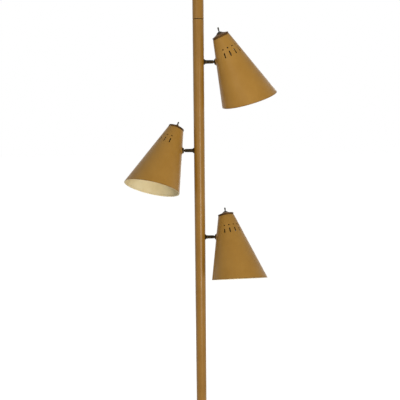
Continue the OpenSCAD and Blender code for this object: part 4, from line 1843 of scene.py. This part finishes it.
@dataclass
class Cap:
    """The low bell cap on the shade's top and the ring nut that clamps it.

    Attributes:
        rim_r: Radius of the rim.
        rim_h: Height of the rim's rolled edge.
        hub_r: Radius of the flat hub.
        height: Height of the hub.
        sheet: Thickness of the metal.
        hole_r: Radius of the hole for the switch's bushing.
        sag_r: Radius of the hollow curve between hub and rim.
        nut_top: Height of the ring nut's top above the shade.
        nut_r: Radius of the ring nut.
        nut_foot: Height of its upright foot.
        crown_r: Radius of its flat top.
        bushing_r: Radius of the bushing that it turns on.
        flutes: Number of flutes round it.
        flute_r: Radius of a flute.
        flute_out: Distance of a flute's middle outside the nut.
    """

    rim_r: float = 19.0
    rim_h: float = 1.0
    hub_r: float = 7.2
    height: float = 5.0
    sheet: float = 1.0
    hole_r: float = 3.4
    sag_r: float = 34.0
    nut_top: float = 7.4
    nut_r: float = 6.6
    nut_foot: float = 0.8
    crown_r: float = 4.3
    bushing_r: float = 3.1
    flutes: int = 16
    flute_r: float = 0.55
    flute_out: float = 0.27

    def bell(self) -> Thing:
        """Makes the spun cap: a rolled rim, a hollow curve and a flat hub.

        Returns:
            The cap.
        """
        run, rise = self.rim_r - self.hub_r, self.height - self.rim_h
        half = math.asin(math.hypot(run, rise) / 2 / self.sag_r)
        lean = math.pi / 2 - math.atan2(rise, run)
        reach = self.sag_r * math.cos(half)
        x = (self.rim_r + self.hub_r) / 2 + reach * math.cos(lean)
        z = (self.height + self.rim_h) / 2 + reach * math.sin(lean)
        start, end = (math.degrees(math.pi + lean + side * half) for side in (1, -1))
        under, roll = self.height - self.sheet, self.rim_r - 0.4
        outline = [(self.hole_r, under), (self.hub_r - 0.4, under)]
        outline += arc(x, z, self.sag_r + self.sheet, end, start, 10)
        outline += [(self.rim_r - 1.6, 0.0), (roll, 0.0)]
        outline += arc(roll, 0.4, 0.4, -90, 0, 3) + arc(roll, 0.8, 0.4, 0, 80, 3)
        outline += arc(x, z, self.sag_r, start, end, 12)
        outline += [(self.hub_r - 0.1, self.height), (self.hole_r, self.height)]
        bell = turned("bell_cap", outline + outline[:1], sides=128)
        rub(bell, Rub.LIGHT, lambda p: math.hypot(p.x, p.y) > self.rim_r - 0.2)
        return lathe_marks(bell)

    def nut(self) -> Thing:
        """Makes the ring nut, fluted round its foot.

        Returns:
            The nut, in its place on the cap.
        """
        high = self.nut_top - self.height
        bore = self.bushing_r + 0.01
        outline = [(bore, 0.0), (self.nut_r, 0.0), (self.nut_r, self.nut_foot)]
        outline += [(self.crown_r, high), (bore, high), (bore, 0.0)]
        nut = turned("fluted_ring_nut", outline, FEW_SIDES)
        cutter = rod("flute", self.flute_r, -1, high + 1, sides=16)
        tools = []
        for k in range(self.flutes):
            turn = Matrix.Rotation(2 * math.pi * k / self.flutes, 4, "Z")
            shift = Matrix.Translation(((self.nut_r + self.flute_out) * MM, 0, 0))
            tools.append(copy_of(cutter, f"flute_{k}", turn @ shift))
        bpy.data.objects.remove(cutter)
        machine(nut, joined("flutes", tools))
        soften(nut, 0.1, 2, angle=40)
        lathe_marks(rub(nut, Rub.HARD, lambda p: p.z > high - 0.3))
        nut.data.transform(Matrix.Translation((0, 0, self.height * MM)))
        return nut


@dataclass
class Switch:
    """The toggle switch: its threaded bushing above the cap, and the bat lever.

    Attributes:
        pivot_z: Height of the lever's pivot above the shade.
        pivot_r: Radius of the lever's ball.
        lever_len: Length of the lever above its pivot.
        throw: Lean of the lever to each side, in degrees.
        tip_r: Radius of the bat's tip.
        stem_r: Radius of its stem.
        flat: What is left of the bat's thickness where it is flattened.
        bushing_r: Radius of the threaded bushing.
        bushing_bore: Radius of the bushing's bore.
        bushing_foot: Height at which its visible tip starts, inside the ring nut.
        bushing_top: Height of the bushing's top.
        thread_mm: Pitch of the bushing's thread.
        thread_deep: Depth of the thread.
    """

    pivot_z: float = 5.2
    pivot_r: float = 1.8
    lever_len: float = 13.2
    throw: float = 16.0
    tip_r: float = 1.9
    stem_r: float = 1.25
    flat: float = 0.92
    bushing_r: float = 3.1
    bushing_bore: float = 2.75
    bushing_foot: float = 7.0
    bushing_top: float = 8.4
    thread_mm: float = 0.5
    thread_deep: float = 0.2

    def lever(self) -> Thing:
        """Makes the bat lever, a little flattened towards its tip.

        Returns:
            The lever, upright on its pivot.
        """
        meet = math.degrees(math.asin(self.stem_r / self.pivot_r))
        outline = [(0.0, -2.8), (1.0, -2.8), (self.stem_r, -2.4)]
        outline += arc(0, 0, self.pivot_r, meet - 90, 90 - meet, 10)
        outline += [(self.stem_r, 4.4), (self.tip_r - 0.15, self.lever_len - 5.5)]
        outline += arc(0, self.lever_len - self.tip_r, self.tip_r, 0, 90, 8)
        lever = turned("bat_lever", outline, sides=48)
        take(lever, editing=True)
        pick(lever, Kind.VERT, lambda v: v.co.z > 6 * MM)
        bpy.ops.transform.resize(value=(self.flat, 1, 1), center_override=(0, 0, 0))
        hands_off()
        lathe_marks(rub(lever, Rub.HARD, lambda p: p.z > self.lever_len - 2.5))
        lever.data.transform(Matrix.Translation((0, 0, self.pivot_z * MM)))
        return lever

    def lean(self, way: float) -> Matrix:
        """Gives the lever's lean at rest about its pivot.

        Args:
            way: Direction of the lean, in degrees from the shade's outer side.

        Returns:
            The turn, in metres.
        """
        lift = Matrix.Translation((0, 0, self.pivot_z * MM))
        turn = Matrix.Rotation(math.radians(way), 4, "Z")
        return turn @ lift @ Matrix.Rotation(math.radians(self.throw), 4, "Y") @ lift.inverted()

    def thread(self) -> Thing:
        """Makes the threaded tip of the bushing that stands out of the ring nut.

        Returns:
            The tip.
        """
        low, high, bore = self.bushing_foot, self.bushing_top, self.bushing_bore
        root = self.bushing_r - self.thread_deep
        outline = [(bore, low), (self.bushing_r, low)]
        for k in range(int((high - low - 0.2) / self.thread_mm)):
            z = low + 0.15 + k * self.thread_mm
            outline += [(root, z), (self.bushing_r, z + self.thread_mm / 2)]
        outline += [(self.bushing_r - 0.25, high), (bore, high), (bore, low)]
        return lathe_marks(turned("bushing_thread", outline, FEW_SIDES))


@dataclass
class LampHolder:
    """The bulb in the socket under the switch.

    Attributes:
        bulb_r: Largest radius of the bulb.
        bulb_neck_r: Radius of its neck.
        bulb_end: Height of the bulb's lowest point, below the shade's top.
        base_top: Height of the top of the bulb's metal base.
        base_end: Height of the base's lower edge.
        neck_len: Length of the straight neck below the base.
        glass: Thickness of the glass.
    """

    bulb_r: float = 29.0
    bulb_neck_r: float = 12.4
    bulb_end: float = -136.5
    base_top: float = -34.0
    base_end: float = -57.0
    neck_len: float = 8.0
    glass: float = 0.9

    def face(self, inset: float) -> list[Point]:
        """Gives the outline of the glass from its neck to its end.

        Args:
            inset: Distance inwards from the outer face.

        Returns:
            Outline points: a straight neck that swells in one smooth line to the round end.
        """
        neck, swell = self.bulb_neck_r - inset, self.bulb_r - inset
        centre = self.bulb_end + self.bulb_r
        neck_z = self.base_end - self.neck_len
        far = math.hypot(neck_z - centre, neck)
        touch = math.degrees(math.atan2(neck_z - centre, neck) - math.acos(swell / far))
        straight = [(neck, self.base_top - 4), (neck, self.base_end - 2), (neck, neck_z)]
        return straight + arc(0, centre, swell, touch, -90, 20)

    def bulb(self) -> Thing:
        """Makes the glass, closed from its inner face round its neck to its outer face."""
        return turned("frosted_bulb", self.face(self.glass)[::-1] + self.face(0.0))


@dataclass
class Heads:
    """The three heads: each part is modelled once and copied to every head.

    Attributes:
        cone: The shades' size.
    """

    cone: Cone = field(default_factory=Cone)

    def __post_init__(self) -> None:
        """Sets the parts' sizes from the pole and the joints."""
        ball = joint_centre("top_shade_tilt")
        reach = math.hypot(ball.x, ball.y)
        self.swivel = Swivel(self.cone, node_radius("middle_pole"), reach)
        self.shade = Shade(self.cone)
        self.cap = Cap()
        self.switch = Switch()
        self.holder = LampHolder()

    def place(self, pose: RestPose, home: Home) -> Matrix:
        """Gives the place of a part of one head, by the body that it rides on.

        Args:
            pose: How the head stands.
            home: The part's body.

        Returns:
            The place, in metres.
        """
        if home in (Home.POLE, Home.ARM):
            return pose.arm_place() @ Matrix.Rotation(math.pi / 2, 4, "Y")
        shade = pose.shade_place(self.cone.radius(self.cone.ball_drop), self.cone.ball_drop)
        return shade @ self.switch.lean(pose.lever) if home is Home.TOGGLE else shade

    def modelled(self) -> list[tuple[str, Thing, Finish, Home]]:
        """Models one of each part.

        Returns:
            For each the ending of its node's name, the object, its finish and its home.
        """
        return [
            ("arm", self.swivel.arm(), DARK_BRONZE, Home.ARM),
            ("ball_cup", self.swivel.cup(), DARK_BRONZE, Home.HEAD),
            ("shade", self.shade.make(), SHADE_ENAMEL, Home.HEAD),
            ("cap", self.cap.bell(), CAP_BRONZE, Home.HEAD),
            ("cap_nut", self.cap.nut(), AGED_NICKEL, Home.HEAD),
            ("bulb_glass", self.holder.bulb(), BULB_GLASS, Home.HEAD),
            ("toggle_lever", self.switch.lever(), AGED_NICKEL, Home.TOGGLE),
            ("", self.switch.thread(), AGED_NICKEL, Home.HEAD),
        ]

    def carried(self) -> list[tuple[str, Finish, Home]]:
        """Lists the inner parts whose construction has the right shape.

        Returns:
            For each the ending of its node's name, its finish and its home.
        """
        return [
            ("arm_nut", ZINC_PLATE, Home.ARM),
            ("ball_nut", ZINC_PLATE, Home.HEAD),
            ("switch_body", PHENOLIC, Home.HEAD),
            ("socket_bracket", ZINC_PLATE, Home.HEAD),
            ("socket", PHENOLIC, Home.HEAD),
            ("screw_shell", ROLLED_BRASS, Home.HEAD),
            ("bulb_base", ROLLED_ALUMINIUM, Home.HEAD),
        ]

    def collars(self) -> Piece:
        """Makes the three collars on the pole as one piece.

        Returns:
            The finished piece.
        """
        one = self.swivel.collar()
        places = [self.place(pose, Home.POLE) for pose in REST_POSES]
        rings = [copy_of(one, f"collar_{k}", place) for k, place in enumerate(places)]
        bpy.data.objects.remove(one)
        return Piece(joined("arm_collar_rings", rings), DARK_BRONZE, "root", ("arm_collars",))

    def build(self) -> list[Piece]:
        """Makes every head's pieces.

        Returns:
            The pieces.
        """
        pieces = [self.collars()]
        for ending, model, finish, home in self.modelled():
            for pose in REST_POSES:
                obj = copy_of(model, f"{pose.name}_{model.name}", self.place(pose, home))
                nodes = (f"{pose.name}_{ending}",) if ending else ()
                pieces.append(Piece(obj, finish, f"{pose.name}_{home.value}", nodes))
            bpy.data.objects.remove(model)
        for ending, finish, home in self.carried():
            for pose in REST_POSES:
                node = f"{pose.name}_{ending}"
                obj = lathe_marks(from_frame(node, node + "_dressed"), self.place(pose, home))
                pieces.append(Piece(obj, finish, f"{pose.name}_{home.value}", (node,)))
        return pieces


# ---------------------------------------------------------------- studio


@dataclass
class Lamp:
    """A soft studio light.

    Attributes:
        name: Its name.
        place: Where it hangs, in metres.
        size: Its width and height, in metres.
        power: Its power in watts.
        tint: Its colour, sRGB hex.
        aim: Height on the pole's axis that it is turned to, in metres.
    """

    name: str
    place: tuple[float, float, float]
    size: tuple[float, float]
    power: float
    tint: str = "#ffffff"
    aim: float = 1.6

    def hang(self) -> None:
        """Hangs the light and turns it to its aim."""
        data = bpy.data.lights.new(self.name, "AREA")
        data.shape = "RECTANGLE"
        data.size, data.size_y = self.size
        data.energy = self.power
        data.color = linear(self.tint)[:3]
        obj = bpy.data.objects.new(self.name, data)
        bpy.context.scene.collection.objects.link(obj)
        obj.location = self.place
        way = Vector((0, 0, self.aim)) - Vector(self.place)
        obj.rotation_euler = way.to_track_quat("-Z", "Y").to_euler()


@dataclass
class Studio:
    """The pale floor, the white surround, the soft lights and the camera.

    Attributes:
        image_px: Width of the photograph's frame.
        focal_px: Focal length in the photograph's pixels.
        sensor: Width of the camera's sensor.
        clip: Nearest and farthest that the camera sees, in metres.
        pitch: How far the camera looks down, in degrees.
        roll: Turn of the camera about its view, in degrees.
        aside: Camera's place to the right of the pole.
        distance: Camera's distance in front of the pole.
        below_seam: Camera's height below the upper seam.
        surround: Brightness of the white surround for what it lights.
        floor_size: Width of the floor, in metres.
        paper: Colour of the floor, sRGB hex.
        pool: Radius of the floor that the lamps light, in metres.
        near_glow: What the floor at the foot lacks to be seen as white.
        far_glow: What the floor beyond the pool lacks.
        lamps: The lights.
    """

    image_px: float = 400.0
    focal_px: float = 500.0
    sensor: float = 36.0
    clip: tuple[float, float] = (0.05, 60.0)
    pitch: float = 9.63
    roll: float = -0.53
    aside: float = 0.5
    distance: float = 1172.7
    below_seam: float = 211.2
    surround: float = 0.36
    floor_size: float = 40.0
    paper: str = "#e9e8e5"
    pool: float = 1.2
    near_glow: float = 0.5
    far_glow: float = 0.73
    lamps: tuple[Lamp, ...] = (
        Lamp("key_light", (0.85, -2.35, 1.12), (0.62, 1.6), 46.0, "#fff8ea", aim=2.9),
        Lamp("high_fill_light", (-1.4, -2.6, 2.2), (1.8, 1.6), 11.0),
        Lamp("back_light", (0.6, 2.8, 2.0), (1.8, 1.8), 14.0),
    )

    def camera(self) -> None:
        """Sets the camera as the photograph has it."""
        low, high = node_span("upper_ferrule")
        data = bpy.data.cameras.new("photo_camera")
        data.sensor_width = self.sensor
        data.lens = self.focal_px / self.image_px * data.sensor_width
        data.clip_start, data.clip_end = self.clip
        obj = bpy.data.objects.new("photo_camera", data)
        bpy.context.scene.collection.objects.link(obj)
        height = (low + high) / 2 - self.below_seam
        obj.location = (self.aside * MM, -self.distance * MM, height * MM)
        look = Euler((math.radians(90 - self.pitch), 0, 0)).to_matrix().to_4x4()
        obj.rotation_euler = (look @ Matrix.Rotation(math.radians(self.roll), 4, "Z")).to_euler()
        bpy.context.scene.camera = obj

    def seen_share(self, tree: Tree) -> Socket:
        """Tells the surface that is looked at from the surface that gives light.

        Args:
            tree: The node tree of the floor or the surround.

        Returns:
            1 where the camera, a mirror or glass looks at it, and 0 where light does.
        """
        path = add(tree, "LightPath")
        seen = path.outputs["Is Camera Ray"]
        for name in ("Is Glossy Ray", "Is Transmission Ray"):
            links = {0: seen, 1: path.outputs[name]}
            seen = add(tree, "Math", {"operation": "MAXIMUM"}, links).outputs[0]
        return seen

    def world(self) -> None:
        """Makes the white surround, at a plain level for the light that it gives."""
        world = bpy.data.worlds.new("white_surround")
        world.use_nodes = True
        tree = world.node_tree
        tree.nodes.clear()
        level = {1: 0.0, 2: 1.0, 3: self.surround, 4: 1.0}
        strength = add(tree, "MapRange", level, {0: self.seen_share(tree)}).outputs[0]
        light = add(tree, "Background", {"Color": (1, 1, 1, 1)}, {"Strength": strength})
        add(tree, "OutputWorld", links={"Surface": light.outputs[0]})
        bpy.context.scene.world = world

    def floor(self) -> None:
        """Lays the pale floor, which the camera sees as white with the lamp's soft shadow."""
        hands_off()
        bpy.ops.mesh.primitive_plane_add(size=self.floor_size)
        obj = label(bpy.context.object, "studio_floor")
        paper = bpy.data.materials.new("white_paper_floor")
        paper.use_nodes = True
        tree = paper.node_tree
        tree.nodes.clear()
        matt = add(tree, "BsdfDiffuse", {"Color": linear(self.paper)}).outputs[0]
        coords = add(tree, "TexCoord").outputs["Object"]
        away = add(tree, "VectorMath", {"operation": "LENGTH"}, {0: coords}).outputs["Value"]
        level = {1: 0.0, 2: self.pool, 3: self.near_glow, 4: self.far_glow}
        strength = add(tree, "MapRange", level, {0: away}).outputs[0]
        glow = add(tree, "Emission", {"Color": (1, 1, 1, 1)}, {"Strength": strength}).outputs[0]
        lit = add(tree, "AddShader", links={0: matt, 1: glow}).outputs[0]
        both = add(tree, "MixShader", links={0: self.seen_share(tree), 1: matt, 2: lit})
        add(tree, "OutputMaterial", links={"Surface": both.outputs[0]})
        obj.data.materials.append(paper)

    def set_up(self) -> None:
        """Sets up the whole studio."""
        bpy.context.scene.view_settings.view_transform = "Standard"
        self.camera()
        self.world()
        self.floor()
        for lamp in self.lamps:
            lamp.hang()


# ---------------------------------------------------------------- the whole lamp


def main() -> None:
    """Builds the studio and the lamp, piece by piece."""
    logging.basicConfig(level=logging.INFO, format="%(name)s: %(message)s")
    Studio().set_up()
    for assembly in (Pole(), Foot(), CeilingEnd(), Heads()):
        for piece in assembly.build():
            piece.settle()


if __name__ == "__main__":
    main()
